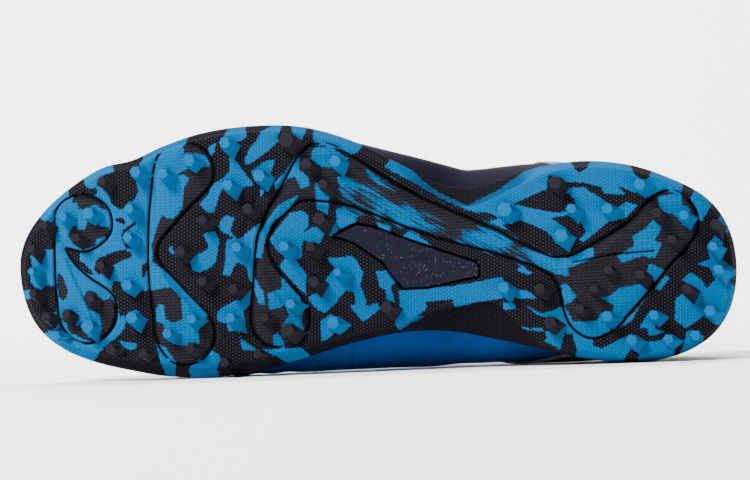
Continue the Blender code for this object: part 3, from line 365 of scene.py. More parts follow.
# Lines cut into the tread: the edges of the three winding channels and of the hard plate's window.
GROOVES = {
    "toe": [(275, 19.1), (275, 8.9), (274.6, -9.3), (273.8, -15.4), (273.4, -21.5), (272.2, -25.6),
        (269.7, -29.2), (266.5, -31.6), (262.4, -32.9), (258.4, -32.4), (254.3, -30.4), (251.5, -27.6),
        (249.4, -23.5), (249, -18.7), (249.8, -14.6), (251.9, -11.8), (255.5, -9.3), (259.6, -6.9),
        (263.6, -3.7), (266.9, -0.4), (269.3, 3.2), (270.5, 5.7), (267.7, 4.9), (264.5, 4.1), (261.6,
        4.1), (257.6, 5.7), (254.3, 8.1), (251.9, 11), (251.1, 13.8), (251.1, 17), (252.3, 21.1),
        (254.7, 23.9), (258.8, 26.4), (263.6, 27.2), (267.7, 26.4), (271.3, 24.7), (273.8, 21.9)],
    "forefoot": [(221.9, 47.9), (227.1, 46.6), (231.2, 44.2), (233.2, 41.4), (234.4, 36.5), (235.2,
        29.2), (236.1, 19.1), (236.5, 8.9), (236.5, 0), (236.1, -7.3), (235.2, -15.4), (234.4, -21.5),
        (234, -27.6), (232.8, -32.4), (230.4, -36.5), (226.7, -40.2), (222.3, -41.4), (217.8, -40.6),
        (213.8, -38.1), (210.5, -34.1), (209.3, -29.6), (209.7, -25.6), (211.3, -21.9), (215, -17.8),
        (221.1, -11.8), (227.1, -5.3), (230.8, -1.6), (232.8, 2.8), (232.4, 6.9), (230, 10.5), (225.9,
        15), (221.1, 20.3), (217, 24.3), (212.9, 28.4), (210.5, 31.6), (209.7, 36.1), (210.5, 40.2),
        (212.5, 43.8), (215.8, 46.2), (219, 47.5)],
    "ball_to_heel": [(175.6, 44.6), (171.2, 47), (166.3, 47.5), (162.2, 46.6), (158.2, 44.6), (150.1,
        39.7), (144, 35.3), (137.9, 31.6), (131.8, 28.4), (125.7, 25.1), (119.7, 22.7), (109.5, 18.3),
        (103.4, 15.8), (97.3, 13), (91.3, 9.7), (85.2, 6.5), (79.1, 3.7), (75, 2), (71, 2), (66.9, 2.8),
        (62.9, 4.9), (54.8, 9.7), (48.7, 13.4), (42.6, 17.8), (38.5, 22.7), (36.5, 25.6), (31.2, 28.4),
        (27.2, 28.8), (23.1, 27.2), (19.9, 24.3), (17.4, 20.3), (16.6, 16.2), (17.4, 11.4), (19.9, 7.3),
        (23.9, 3.2), (28.4, -1.6), (32.4, -6.5), (36.5, -11.4), (40.6, -16.2), (44.6, -20.7), (49.5,
        -26), (52.7, -28.8), (56.8, -30.4), (60.8, -30.4), (64.9, -28.4), (68.5, -24.7), (70.2, -20.3),
        (71.4, -15.4), (72.6, -10.5), (74.6, -6.5), (77.9, -3.7), (81.9, -1.6), (87.2, 0), (93.3, 2),
        (99.4, 4.1), (107.5, 6.1), (115.6, 8.1), (123.7, 10.5), (131.8, 13.4), (137.9, 15.8), (144,
        18.3), (150.1, 20.3), (156.2, 22.7), (162.2, 23.9), (172.4, 24.7), (176.4, 23.9), (180.5, 20.3),
        (184.5, 16.2), (187, 12.2), (188.6, 8.1), (188.2, 4.1), (186.2, -0.4), (182.5, -5.3), (178.5,
        -9.7), (175.2, -13.8), (172.4, -17.4), (171.6, -22.7), (172.8, -27.6), (175.2, -30.8), (178.1,
        -32.9), (181.3, -33.7), (185.4, -34.1), (189.4, -33.3), (192.7, -30.4), (194.7, -26.4), (195.5,
        -21.5), (195.1, -15.4), (194.3, -9.3), (193.9, -1.2), (193.5, 4.9), (192.7, 11), (190.6, 16.2),
        (188.6, 21.1), (186.2, 25.1), (183.7, 29.2), (180.5, 35.3), (177.7, 40.6)],
    "heel_line": [(66.9, 0), (50.3, 3.2), (34.5, 4.5)],
    "plate": [(162.2, 10.5), (153.3, 15), (147.2, 14.2), (131.8, 8.5), (105.5, 0), (104.2, -2.4),
        (104.6, -5.7), (115.6, -8.1), (124.9, -10.1), (134.7, -10.5), (138.7, -5.7), (142.8, 0), (148,
        3.7), (154.9, 8.1)],
}

# Folds in the tread: a crest, the width of the slope on its left, and its height, in millimetres.
FOLDS = [
    ([(271.5, 4.0), (267.5, -6.0), (262.0, -17.0), (258.0, -26.0)], 4.5, 0.9),
    ([(233.0, 0.0), (228.0, -8.0), (221.0, -16.0), (215.0, -24.0)], 5.0, 0.9),
    ([(222.5, 19.5), (229.0, 12.0), (233.5, 4.5), (235.0, -2.0)], 4.0, 0.8),
    ([(181.0, 37.0), (186.5, 27.0), (191.0, 17.0), (193.6, 7.0), (194.0, -1.0)], 3.5, 0.9),
    ([(189.0, 33.0), (194.0, 22.0), (197.5, 12.0), (198.5, 2.0)], 3.0, -0.8),
    ([(192.0, 0.0), (188.0, -9.0), (182.5, -17.5), (178.0, -25.5)], 4.5, 0.9),
    ([(158.0, 41.0), (136.0, 27.0), (112.0, 16.0), (87.0, 7.0), (71.0, 0.5)], 5.0, 0.8),
    ([(172.0, 22.0), (150.0, 20.0), (128.0, 11.0), (100.0, 2.0), (84.0, -2.0)], 4.0, -0.7),
    ([(67.0, 0.0), (56.0, 4.0), (46.0, 13.0), (38.0, 23.0)], 5.0, 0.9),
    ([(70.0, -6.0), (66.0, -14.0), (64.0, -24.0)], 4.0, 0.8),
    ([(88.0, -24.0), (82.0, -30.0), (76.0, -34.0)], 2.0, 0.7),
]


def at(rows, column, place, warp=None):
    """Smooth values of one column of a table, at places along its first column."""
    keys = np.array([row[0] for row in rows], float)
    values = np.array([row[column] for row in rows], float)
    place = np.atleast_1d(np.asarray(place, float))
    if warp:
        keys, place = warp(keys), warp(place)
    gaps = np.diff(keys)
    climbs = np.diff(values) / gaps
    slopes = np.concatenate(([climbs[0]], (climbs[:-1] * gaps[1:] + climbs[1:] * gaps[:-1])
                             / (gaps[:-1] + gaps[1:]), [climbs[-1]]))
    k = np.clip(np.searchsorted(keys, place, side="right") - 1, 0, len(gaps) - 1)
    t = np.clip((place - keys[k]) / gaps[k], 0.0, 1.0)
    return ((2 * t ** 3 - 3 * t ** 2 + 1) * values[k] + (t ** 3 - 2 * t ** 2 + t) * gaps[k] * slopes[k]
            + (3 * t ** 2 - 2 * t ** 3) * values[k + 1] + (t ** 3 - t ** 2) * gaps[k] * slopes[k + 1])


def turn(share):
    return np.arccos(1.0 - 2.0 * np.clip(share, 0.0, 1.0))


def sign_of(side):
    return 1.0 if side == "lateral" else -1.0


def rim_plan(side, share):
    column = 1 if side == "lateral" else 2
    return np.stack([share * LENGTH, at(PLAN, column, share, turn) * BALL_WIDTH], -1)


def rim_out(side, share):
    """Direction straight out of the rim, seen from below."""
    low = np.maximum(turn(share) - 0.03, 0.0)
    high = np.minimum(turn(share) + 0.03, math.pi)
    step = rim_plan(side, 0.5 - 0.5 * np.cos(high)) - rim_plan(side, 0.5 - 0.5 * np.cos(low))
    step /= np.linalg.norm(step, axis=1)[:, None]
    out = np.stack([-step[:, 1], step[:, 0]], -1) * sign_of(side)
    out[share <= 0.0] = (-1.0, 0.0)
    out[share >= 1.0] = (1.0, 0.0)
    return out


def rim_point(side, share, outwards, height):
    plan = rim_plan(side, share) + rim_out(side, share) * np.broadcast_to(outwards, share.shape)[:, None]
    return np.column_stack([plan, np.broadcast_to(height, share.shape)])


def level(column, share):
    """Height of 1 the tread, 2 the inner floor, 3 the rim or 4 the upper's widest line."""
    height = np.full(np.shape(share), STUD_HEIGHT)
    for number, size in ((1, TOE_SPRING), (2, SOLE_DEPTH), (3, CUP_DEPTH), (4, INSTEP_HEIGHT)):
        if number <= column:
            height = height + at(LEVELS, number, share) * size
    return height


def tread_inset(side, share):
    return at(PLAN, 3 if side == "lateral" else 4, share, turn) * BALL_WIDTH


def inside(points, loop):
    """Distance in millimetres from the edge of a closed outline, positive inside it."""
    loop = np.array(loop, float)
    nearest = np.full(len(points), 1e9)
    within = np.zeros(len(points), bool)
    for a, b in zip(loop, np.roll(loop, -1, axis=0)):
        run = b - a
        share = np.clip(((points - a) @ run) / max(run @ run, 1e-9), 0.0, 1.0)
        nearest = np.minimum(nearest, np.hypot(*(points - a - share[:, None] * run).T))
        if a[1] != b[1]:
            crosses = (a[1] > points[:, 1]) != (b[1] > points[:, 1])
            within ^= crosses & (points[:, 0] < a[0] + run[0] * (points[:, 1] - a[1]) / run[1])
    return np.where(within, nearest, -nearest)


def beside(points, line):
    """Distance in millimetres from an open line, positive on the left of its run."""
    line = np.array(line, float)
    nearest = np.full(len(points), 1e9)
    side = np.ones(len(points))
    for a, b in zip(line, line[1:]):
        run = b - a
        share = np.clip(((points - a) @ run) / (run @ run), 0.0, 1.0)
        away = points - a - share[:, None] * run
        distance = np.hypot(*away.T)
        left = np.sign(run[0] * away[:, 1] - run[1] * away[:, 0])
        side = np.where(distance < nearest, left, side)
        nearest = np.minimum(nearest, distance)
    return nearest * side


def smooth(low, high, value):
    t = np.clip((value - low) / (high - low), 0.0, 1.0)
    return t * t * (3.0 - 2.0 * t)


def rounded(line):
    """The outline with its corners cut twice, so that a few charted points give a smooth run."""
    line = np.array(line, float)
    for _ in range(2):
        after = np.roll(line, -1, axis=0)
        line = np.stack([0.75 * line + 0.25 * after, 0.25 * line + 0.75 * after], 1).reshape(-1, 2)
    return line


def mixed_rubber(points):
    """How far a place lies inside the blue rubber, in millimetres; the dark rubber is below zero."""
    depth = np.full(len(points), -6.0)
    for colour, outline in CAMOUFLAGE:
        if colour == "blue":
            depth = np.maximum(depth, inside(points, outline))
        else:
            depth = np.minimum(depth, -inside(points, outline))
    for colour, along, across, radius in STUD_DABS:
        round_spot = radius - np.hypot(points[:, 0] - along, points[:, 1] - across)
        depth = np.maximum(depth, round_spot) if colour == "blue" else np.minimum(depth, -round_spot)
    return depth


def piece(name, points, faces, **shades):
    """A mesh of the last's points laid on the floor, flat where it presses on it, with named shades."""
    spots = laid(points)
    spots[:, 2] = np.maximum(spots[:, 2], 0.0)
    data = bpy.data.meshes.new(name)
    data.from_pydata(spots.tolist(), [], faces)
    for label, values in {"last": points, **shades}.items():
        values = np.asarray(values, np.float32)
        kind, slot = ("FLOAT_VECTOR", "vector") if values.ndim == 2 else ("FLOAT", "value")
        data.attributes.new(label, kind, "POINT").data.foreach_set(slot, values.ravel())
    made = bpy.data.objects.new(name, data)
    bpy.context.scene.collection.objects.link(made)
    return made


def weld(thing, distance=2e-6):
    """Joins points that lie on each other, as at the heel back and the toe tip."""
    work = bmesh.new()
    work.from_mesh(thing.data)
    bmesh.ops.remove_doubles(work, verts=work.verts, dist=distance)
    bmesh.ops.dissolve_degenerate(work, edges=work.edges, dist=distance / 4)
    work.to_mesh(thing.data)
    work.free()
    thing.data.shade_smooth()


def lattice(count_along, count_round, closed=False):
    """Faces of a sheet of points, one row of points after another."""
    faces = []
    for i in range(count_along - 1):
        for j in range(count_round if closed else count_round - 1):
            n = (j + 1) % count_round
            faces.append((i * count_round + j, i * count_round + n,
                          (i + 1) * count_round + n, (i + 1) * count_round + j))
    return faces


def colour(code):
    """An sRGB hex colour as linear RGBA."""
    parts = [int(code[k:k + 2], 16) / 255 for k in (1, 3, 5)]
    return tuple(c / 12.92 if c <= 0.04045 else ((c + 0.055) / 1.055) ** 2.4 for c in parts) + (1.0,)


def node(tree, kind, sockets=None, **settings):
    """Adds a node. Each socket gets a link or a value."""
    made = tree.nodes.new("ShaderNode" + kind)
    for label, value in settings.items():
        setattr(made, label, value)
    for label, value in (sockets or {}).items():
        if isinstance(value, bpy.types.NodeSocket):
            tree.links.new(value, made.inputs[label])
        else:
            made.inputs[label].default_value = value
    return made


def finish(name):
    """A new material: its tree and its Principled shader."""
    made = bpy.data.materials.new(name)
    made.use_nodes = True
    return made, made.node_tree, made.node_tree.nodes["Principled BSDF"]


# Stations of the sole are spaced evenly round its outline, and each ring runs from the lateral lip
# down the sidewall, across the tread and up to the medial lip, then back over the inner floor.
sweep = np.linspace(0.0, math.pi, 4001)
outline = (rim_plan("lateral", 0.5 - 0.5 * np.cos(sweep)) - rim_plan("medial", 0.5 - 0.5 * np.cos(sweep)))
outline = np.column_stack([(0.5 - 0.5 * np.cos(sweep)) * LENGTH, outline[:, 1] / 2.0])
run = np.concatenate(([0.0], np.cumsum(np.hypot(*np.diff(outline, axis=0).T))))
SOLE_RINGS = 480
TREAD_COLUMNS = 128
SIDEWALL_ROWS = 24
COLOUR_ROW = 3
EDGE_ROWS = 8.0
WAIST_ROWS = 6.0
share = 0.5 - 0.5 * np.cos(np.interp(np.linspace(0.0, run[-1], SOLE_RINGS + 1), run, sweep))
share[0], share[-1] = 0.0, 1.0
tread, floor, rim = level(1, share), level(2, share), level(3, share)
wall_rows = {}
for side in ("lateral", "medial"):
    inset = tread_inset(side, share)
    pinch = 0.2 * WALL + 0.22 * np.maximum(inset - 0.026 * BALL_WIDTH, 0.0)
    seat = LIP + FLARE
    corners = np.stack([
        rim_point(side, share, -inset - 0.030 * BALL_WIDTH, tread),
        rim_point(side, share, -inset - 0.004 * BALL_WIDTH, tread),
        rim_point(side, share, -inset + 0.002 * BALL_WIDTH, tread + 0.20 * SOLE_DEPTH),
        rim_point(side, share, -0.0002, tread + 0.38 * (rim - tread)),
        rim_point(side, share, 0.0, tread + 0.46 * (rim - tread)),
        rim_point(side, share, -FLARE, rim - 0.0004),
        rim_point(side, share, -FLARE - 0.0005, rim),
        rim_point(side, share, -seat, rim),
        rim_point(side, share, -seat - 0.55 * pinch, floor + INSOLE + CLEARANCE),
        rim_point(side, share, -seat - pinch, floor),
    ], 1)
    for _ in range(2):
        inner = np.stack([0.75 * corners[:, :-1] + 0.25 * corners[:, 1:],
                          0.25 * corners[:, :-1] + 0.75 * corners[:, 1:]], 2)
        inner = inner.reshape(len(share), -1, 3)
        corners = np.concatenate([corners[:, :1], inner[:, 1:-1], corners[:, -1:]], 1)
    wall_rows[side] = corners
across = np.linspace(0.0, 1.0, TREAD_COLUMNS)[None, 1:-1, None]
ground = wall_rows["lateral"][:, :1] * (1.0 - across) + wall_rows["medial"][:, :1] * across
back = np.linspace(0.0, 1.0, 9)[None, 1:-1, None]
inner_floor = wall_rows["medial"][:, -1:] * (1.0 - back) + wall_rows["lateral"][:, -1:] * back
rings = np.concatenate([wall_rows["lateral"][:, ::-1], ground, wall_rows["medial"], inner_floor], 1)
ring_size = rings.shape[1]
wall_size = wall_rows["lateral"].shape[1]
points = rings.reshape(-1, 3)
plan = points[:, :2] * 1000.0

# Only what faces the ground is charted: the tread in full, and the sidewall up to the lip.
number = np.arange(ring_size)
beyond = np.maximum(wall_size - 1 - number, number - (wall_size + TREAD_COLUMNS - 2))
beyond = np.tile(np.where(number < wall_size * 2 + TREAD_COLUMNS - 2, np.maximum(beyond, 0), 99), len(share))
outer = beyond < SIDEWALL_ROWS
waist = smooth(0.03, 0.07, np.repeat(np.maximum(tread_inset("lateral", share), tread_inset("medial", share))
                                     / BALL_WIDTH, ring_size))
edge_rows = EDGE_ROWS - WAIST_ROWS * waist
on_tread = 1.0 - smooth(edge_rows - 3.0, edge_rows, beyond)
camouflage = np.full(len(points), -6.0)
channel = np.full(len(points), -6.0)
plate_edge = np.full(len(points), -6.0)
thin = np.full(len(points), 6.0)
fold = np.zeros(len(points))
spot = np.flatnonzero(outer)
ring_plan = plan.reshape(len(share), ring_size, 2)
lateral_edge = np.repeat(ring_plan[:, wall_size - 1 - COLOUR_ROW][:, None], ring_size, 1)
medial_edge = np.repeat(ring_plan[:, wall_size + TREAD_COLUMNS - 2 + COLOUR_ROW][:, None], ring_size, 1)
at_edge = np.where((number < wall_size)[None, :, None], lateral_edge, medial_edge).reshape(-1, 2)
kept = np.where(beyond > COLOUR_ROW, 0.35 + 0.65 * waist, 1.0)[:, None]
drawn_up = at_edge + kept * (plan - at_edge)
camouflage[spot] = mixed_rubber(drawn_up[spot])
for name in ("toe", "forefoot", "ball_to_heel"):
    channel[spot] = np.maximum(channel[spot], inside(plan[spot], rounded(GROOVES[name])))
plate_edge[spot] = inside(plan[spot], GROOVES["plate"])
thin[spot] = np.abs(beside(plan[spot], GROOVES["heel_line"]))
for line, width, height in FOLDS:
    distance = beside(plan[spot], line)
    ends = np.minimum(np.hypot(*(plan[spot] - line[0]).T), np.hypot(*(plan[spot] - line[-1]).T))
    slope = np.where(distance >= 0.0, 1.0 - distance / width, 1.0 + distance / 0.7)
    fold[spot] += height * np.clip(slope, 0.0, 1.0) * smooth(0.0, 4.0, ends)

drop = CHANNEL_DOME * smooth(0.5, 5.0, channel) + fold * 0.001
for distance, width in ((np.abs(channel), GROOVE_WIDTH), (thin, 0.6 * GROOVE_WIDTH)):
    drop -= GROOVE_DEPTH * np.clip(1.0 - (distance / (1000.0 * width)) ** 2, 0.0, 1.0)
drop = drop * on_tread
drop = np.where((on_tread > 0.5) & (plate_edge > -0.4), -(PLATE + 2.5 * CLEARANCE), drop)
points[:, 2] -= drop
flank = smooth(edge_rows - 1.0, edge_rows + 2.0, beyond) * np.where(outer, 1.0, 0.0)
streak = smooth(0.0, 6.0, inside(plan, STREAKED))
outsole = piece("outsole_rubber", points, lattice(len(share), ring_size, closed=True),
                blue=camouflage, channel=np.minimum(channel, 6.0),
                line=np.minimum(np.minimum(thin * 1.6, np.abs(channel)), np.abs(plate_edge + 0.4) * 1.3),
                flank=flank, waist=waist, streak=streak)
weld(outsole)

# Studs stand on the tread with their flat tips down. Each has a crisp hexagonal tip and a foot
# that runs out towards the heel and the medial side, further at some of its six corners than at
# others. It takes the colour of the patch that it stands in.
FOOT_MARGIN = 0.0006
RUN_OUT_WAY = (0.80, 0.60)
DRIFT_WAY = (0.35, 0.20)
UNEVEN_FEET = ((0.8, 1.1, 0.7, 1.0, 0.7, 1.0), (1.0, 0.75, 1.0, 0.8, 1.1, 0.7))


def rim_reach(side, spot):
    """How far the tread reaches to a side at a place along it, less the rounded edge."""
    share = np.array([np.clip(spot[0] / LENGTH, 0.004, 0.996)])
    plan = abs(rim_plan(side, share)[0, 1]) if 0.0 < spot[0] < LENGTH else 0.0
    return plan - tread_inset(side, share)[0] - FOOT_MARGIN


stud_points, stud_faces, stud_blue = [], [], []
places = np.array([stud[:2] for stud in STUDS])
ground_at = level(1, places[:, 0])
centres = places * (LENGTH, BALL_WIDTH)
tip_blue = mixed_rubber(centres * 1000.0)
for (along, _, width), height, centre, blue in zip(STUDS, ground_at, centres, tip_blue):
    tip = max(height - STUD_HEIGHT, 0.0)
    small = 0.80 * width * STUD_TIP / 2.0 / math.cos(math.pi / 6)
    rows = [
        # height, radius, drift to the heel, run out of the foot
        (height + 0.0012, small + 0.30 * STUD_TAPER, 0.9, 0.0050),
        (height - 0.0004, small + 0.22 * STUD_TAPER, 0.8, 0.0040),
        (tip + 0.45 * STUD_HEIGHT, small + 0.12 * STUD_TAPER, 0.35, 0.0016),
        (tip + 0.0004, small, 0.0, 0.0),
        (tip, small - 0.0003, 0.0, 0.0),
        (tip, 0.0, 0.0, 0.0),
    ]
    first = len(stud_points)
    uneven = UNEVEN_FEET[int(along * 997) % 2]
    for level_here, radius, drift, run_out in rows:
        for k in range(6):
            arm = np.array([math.cos(math.pi * k / 3 + 0.1), math.sin(math.pi * k / 3 + 0.1)])
            towards = -RUN_OUT_WAY[0] * arm[0] - RUN_OUT_WAY[1] * arm[1]
            reach = radius + run_out * uneven[k] * max(towards, 0.0)
            away = arm * reach - np.array(DRIFT_WAY) * STUD_TAPER * drift
            flat = centre + away
            while run_out and not -rim_reach("medial", flat) < flat[1] < rim_reach("lateral", flat):
                away *= 0.9
                flat = centre + away
            stud_points.append((flat[0], flat[1], level_here))
            stud_blue.append(math.copysign(3.0, blue))
    for r in range(len(rows) - 1):
        for k in range(6):
            n = (k + 1) % 6
            stud_faces.append((first + r * 6 + k, first + r * 6 + n,
                               first + r * 6 + 6 + n, first + r * 6 + 6 + k))
stud_points = np.array(stud_points)
studs = piece("outsole_studs", stud_points, stud_faces, blue=np.array(stud_blue),
              channel=np.full(len(stud_points), -6.0), line=np.full(len(stud_points), 6.0),
              flank=np.full(len(stud_points), 2.0), waist=np.zeros(len(stud_points)),
              streak=np.zeros(len(stud_points)))
weld(studs, 1e-5)
studs.data.set_sharp_from_angle(angle=math.radians(14))

# Moulded rubber: matt, a little waxy, in two colours that meet at a sharp but ragged edge. The ground
# carries raised dots in a hexagonal pack, the channels fine zigzag lines, and the tops of these and the
# studs are painted paler as a painted highlight.
BLUE_RUBBER = "#004b79"
DARK_RUBBER = "#0b0a10"
DOT_HIGHLIGHT_BLUE = "#005b8a"
DOT_HIGHLIGHT_DARK = "#2b2930"
GROOVE_SHADE = "#010102"
WAIST_FLANK_SHADE = "#05040c"
DOT_PITCH = 0.0014
ZIGZAG_PITCH = 0.0010
ZIGZAG_PERIOD = 0.0010
ZIGZAG_SLANT = -0.45
ZIGZAG_SPREAD = 0.8
HEX_PITCH = 0.0027
STREAK_TURN = 0.51
STREAK_LENGTH = 0.012
STREAK_BREADTH = 0.0008
STREAK_PULL = 20.0
STREAK_LEVEL = 0.48

rubber, tree, shader = finish("moulded_rubber_two_colours")
last = node(tree, "Attribute", attribute_name="last").outputs["Vector"]
marks = {label: node(tree, "Attribute", attribute_name=label).outputs["Fac"]
         for label in ("blue", "channel", "line", "flank", "waist", "streak")}


def hexagon_pack(tree, place, pitch):
    """Three crossed waves, high at points in a hexagonal pack."""
    wave = 4.0 * math.pi / (math.sqrt(3.0) * pitch)
    total = None
    for k in range(3):
        angle = math.pi * k / 3.0
        dot = node(tree, "VectorMath", {0: place, 1: (wave * math.cos(angle), wave * math.sin(angle), 0)},
                   operation="DOT_PRODUCT")
        cosine = node(tree, "Math", {0: dot.outputs["Value"]}, operation="COSINE").outputs[0]
        total = cosine if total is None else node(tree, "Math", {0: total, 1: cosine}).outputs[0]
    return total


# The edge between the colours is ragged, and drawn out into brush strokes in the streaked corridor.
ragged = node(tree, "TexNoise", {"Vector": last, "Scale": 900.0, "Detail": 2.0}).outputs["Fac"]
stretched = node(tree, "Mapping", {"Vector": last, "Rotation": (0.0, 0.0, STREAK_TURN),
                                   "Scale": (STREAK_LENGTH, STREAK_BREADTH, 0.01)}, vector_type="TEXTURE")
smear = node(tree, "TexNoise", {"Vector": stretched.outputs[0], "Scale": 1.0, "Detail": 3.0}).outputs["Fac"]
edge = node(tree, "Math", {0: ragged, 1: 1.5, 2: -0.75}, operation="MULTIPLY_ADD").outputs[0]
edge = node(tree, "Math", {0: edge, 1: marks["blue"]}).outputs[0]
swirl = node(tree, "Math", {0: smear, 1: STREAK_PULL, 2: -STREAK_PULL * STREAK_LEVEL},
             operation="MULTIPLY_ADD").outputs[0]
edge = node(tree, "Math", {0: swirl, 1: marks["streak"], 2: edge}, operation="MULTIPLY_ADD").outputs[0]
soft = node(tree, "Math", {0: marks["streak"], 1: 2.0, 2: 0.12}, operation="MULTIPLY_ADD").outputs[0]
hard = node(tree, "Math", {0: soft, 1: -1.0}, operation="MULTIPLY").outputs[0]
is_blue = node(tree, "MapRange", {0: edge, 1: hard, 2: soft}, interpolation_type="SMOOTHSTEP").outputs[0]

# Dots cover the ground outside the channels, zigzag lines the channels, large cells the waist's flanks.
off_channel = node(tree, "MapRange", {0: marks["channel"], 1: -0.4, 2: -0.7},
                   interpolation_type="SMOOTHSTEP").outputs[0]
off_flank = node(tree, "MapRange", {0: marks["flank"], 1: 0.6, 2: 0.1},
                 interpolation_type="SMOOTHSTEP").outputs[0]
dots = node(tree, "MapRange", {0: hexagon_pack(tree, last, DOT_PITCH), 1: 0.2, 2: 2.4},
            interpolation_type="SMOOTHSTEP").outputs[0]
dots = node(tree, "Math", {0: dots, 1: off_channel}, operation="MULTIPLY").outputs[0]
dots = node(tree, "Math", {0: dots, 1: off_flank}, operation="MULTIPLY").outputs[0]
parts = node(tree, "SeparateXYZ", {0: last})
zig = node(tree, "Math", {0: parts.outputs["X"], 1: ZIGZAG_PERIOD}, operation="PINGPONG").outputs[0]
lines = node(tree, "Math", {0: parts.outputs["X"], 1: ZIGZAG_SLANT, 2: zig},
             operation="MULTIPLY_ADD").outputs[0]
lines = node(tree, "Math", {0: parts.outputs["Y"], 1: ZIGZAG_SPREAD, 2: lines},
             operation="MULTIPLY_ADD").outputs[0]
lines = node(tree, "Math", {0: lines, 1: 2.0 * math.pi / ZIGZAG_PITCH}, operation="MULTIPLY").outputs[0]
lines = node(tree, "Math", {0: lines}, operation="SINE").outputs[0]
lines = node(tree, "MapRange", {0: lines, 1: -0.7, 2: 0.6}, interpolation_type="SMOOTHSTEP").outputs[0]
in_channel = node(tree, "MapRange", {0: marks["channel"], 1: 0.9, 2: 1.5},
                  interpolation_type="SMOOTHSTEP").outputs[0]
in_channel = node(tree, "Math", {0: in_channel, 1: off_flank}, operation="MULTIPLY").outputs[0]
lines = node(tree, "Math", {0: lines, 1: in_channel}, operation="MULTIPLY").outputs[0]
cells = node(tree, "MapRange", {0: hexagon_pack(tree, last, HEX_PITCH), 1: -1.45, 2: -0.75},
             interpolation_type="SMOOTHSTEP").outputs[0]
on_flank = node(tree, "MapRange", {0: marks["flank"], 1: 0.6, 2: 0.9}).outputs[0]
cells = node(tree, "Math", {0: cells, 1: on_flank}, operation="MULTIPLY").outputs[0]
off_stud = node(tree, "MapRange", {0: marks["flank"], 1: 1.6, 2: 1.2}).outputs[0]
cells = node(tree, "Math", {0: cells, 1: off_stud}, operation="MULTIPLY").outputs[0]
cells = node(tree, "Math", {0: cells, 1: marks["waist"]}, operation="MULTIPLY").outputs[0]
relief = node(tree, "Math", {0: lines, 1: dots}).outputs[0]
raised = node(tree, "Math", {0: cells, 1: 0.9, 2: relief}, operation="MULTIPLY_ADD").outputs[0]
# Painted highlight: the tops of the raised dots, zigzag lines and flank cells, and all of each stud, are
# mixed towards paler colours.
painted_highlight = node(tree, "Math", {0: lines, 1: -0.25, 2: relief}, operation="MULTIPLY_ADD").outputs[0]
painted_highlight = node(tree, "Math", {0: cells, 1: 0.16, 2: painted_highlight}, operation="MULTIPLY_ADD").outputs[0]
on_stud = node(tree, "MapRange", {0: marks["flank"], 1: 1.2, 2: 1.6, 3: 0.0, 4: 0.42}).outputs[0]
painted_highlight = node(tree, "Math", {0: painted_highlight, 1: on_stud}).outputs[0]
ground_mix = node(tree, "Mix", {"Factor": is_blue, 6: colour(DARK_RUBBER), 7: colour(BLUE_RUBBER)},
                  data_type="RGBA").outputs[2]
highlight_mix = node(tree, "Mix", {"Factor": is_blue, 6: colour(DOT_HIGHLIGHT_DARK), 7: colour(DOT_HIGHLIGHT_BLUE)},
               data_type="RGBA").outputs[2]
tinted = node(tree, "Mix", {"Factor": painted_highlight, 6: ground_mix, 7: highlight_mix}, data_type="RGBA").outputs[2]
# Painted shade: the cut lines of the channels, the heel line and the hard plate's window are painted near
# black.
groove = node(tree, "MapRange", {0: marks["line"], 1: 0.66, 2: 0.36}, interpolation_type="SMOOTHSTEP")
groove = node(tree, "Math", {0: groove.outputs[0], 1: off_flank}, operation="MULTIPLY").outputs[0]
# Painted shade: the sidewall flanks at the waist are darkened towards near black, clear of the studs.
shaded = node(tree, "Math", {0: on_flank, 1: marks["waist"]}, operation="MULTIPLY").outputs[0]
shaded = node(tree, "Math", {0: shaded, 1: off_stud}, operation="MULTIPLY").outputs[0]
shaded = node(tree, "Math", {0: shaded, 1: 0.55}, operation="MULTIPLY").outputs[0]
tinted = node(tree, "Mix", {"Factor": shaded, 6: tinted, 7: colour(WAIST_FLANK_SHADE)}, data_type="RGBA").outputs[2]
base = node(tree, "Mix", {"Factor": groove, 6: tinted, 7: colour(GROOVE_SHADE)}, data_type="RGBA").outputs[2]
tree.links.new(base, shader.inputs["Base Color"])
shader.inputs["Roughness"].default_value = 0.72
shader.inputs["IOR"].default_value = 1.52
shader.inputs["Specular IOR Level"].default_value = 0.03
micro = node(tree, "TexNoise", {"Vector": last, "Scale": 5200.0, "Detail": 1.0}).outputs["Fac"]
bump = node(tree, "Bump", {"Height": raised, "Strength": 1.0, "Distance": 0.00026})
grain = node(tree, "Bump", {"Height": micro, "Strength": 0.25, "Distance": 0.00004,
                            "Normal": bump.outputs["Normal"]})
tree.links.new(grain.outputs["Normal"], shader.inputs["Normal"])
for thing in (outsole, studs):
    thing.data.materials.append(rubber)
    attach(thing, "root")
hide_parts("outsole")


# Arch plate. A hard plastic insert under the waist, moulded in dark violet with metal flake, and
# pressed into a window of the sole. It keeps its solid and gets its finish here.
FLAKE_SIZE = 0.0006

flake_plastic, tree, shader = finish("moulded_plastic_with_metal_flake")
place = node(tree, "TexCoord").outputs["Object"]
flakes = node(tree, "TexVoronoi", {"Vector": place, "Scale": 1.0 / FLAKE_SIZE, "Randomness": 1.0})
lone = node(tree, "SeparateColor", {0: flakes.outputs["Color"]}).outputs[0]
lone = node(tree, "MapRange", {0: lone, 1: 0.90, 2: 0.94}).outputs[0]
core = node(tree, "MapRange", {0: flakes.outputs["Distance"], 1: 0.45, 2: 0.25}).outputs[0]
lone = node(tree, "Math", {0: lone, 1: core}, operation="MULTIPLY").outputs[0]
mixed = node(tree, "Mix", {"Factor": lone, 6: colour("#0e0c1c"), 7: colour("#4e4c61")}, data_type="RGBA")
tree.links.new(mixed.outputs[2], shader.inputs["Base Color"])
polish = node(tree, "MapRange", {0: lone, 1: 0.0, 2: 1.0, 3: 0.40, 4: 0.20}).outputs[0]
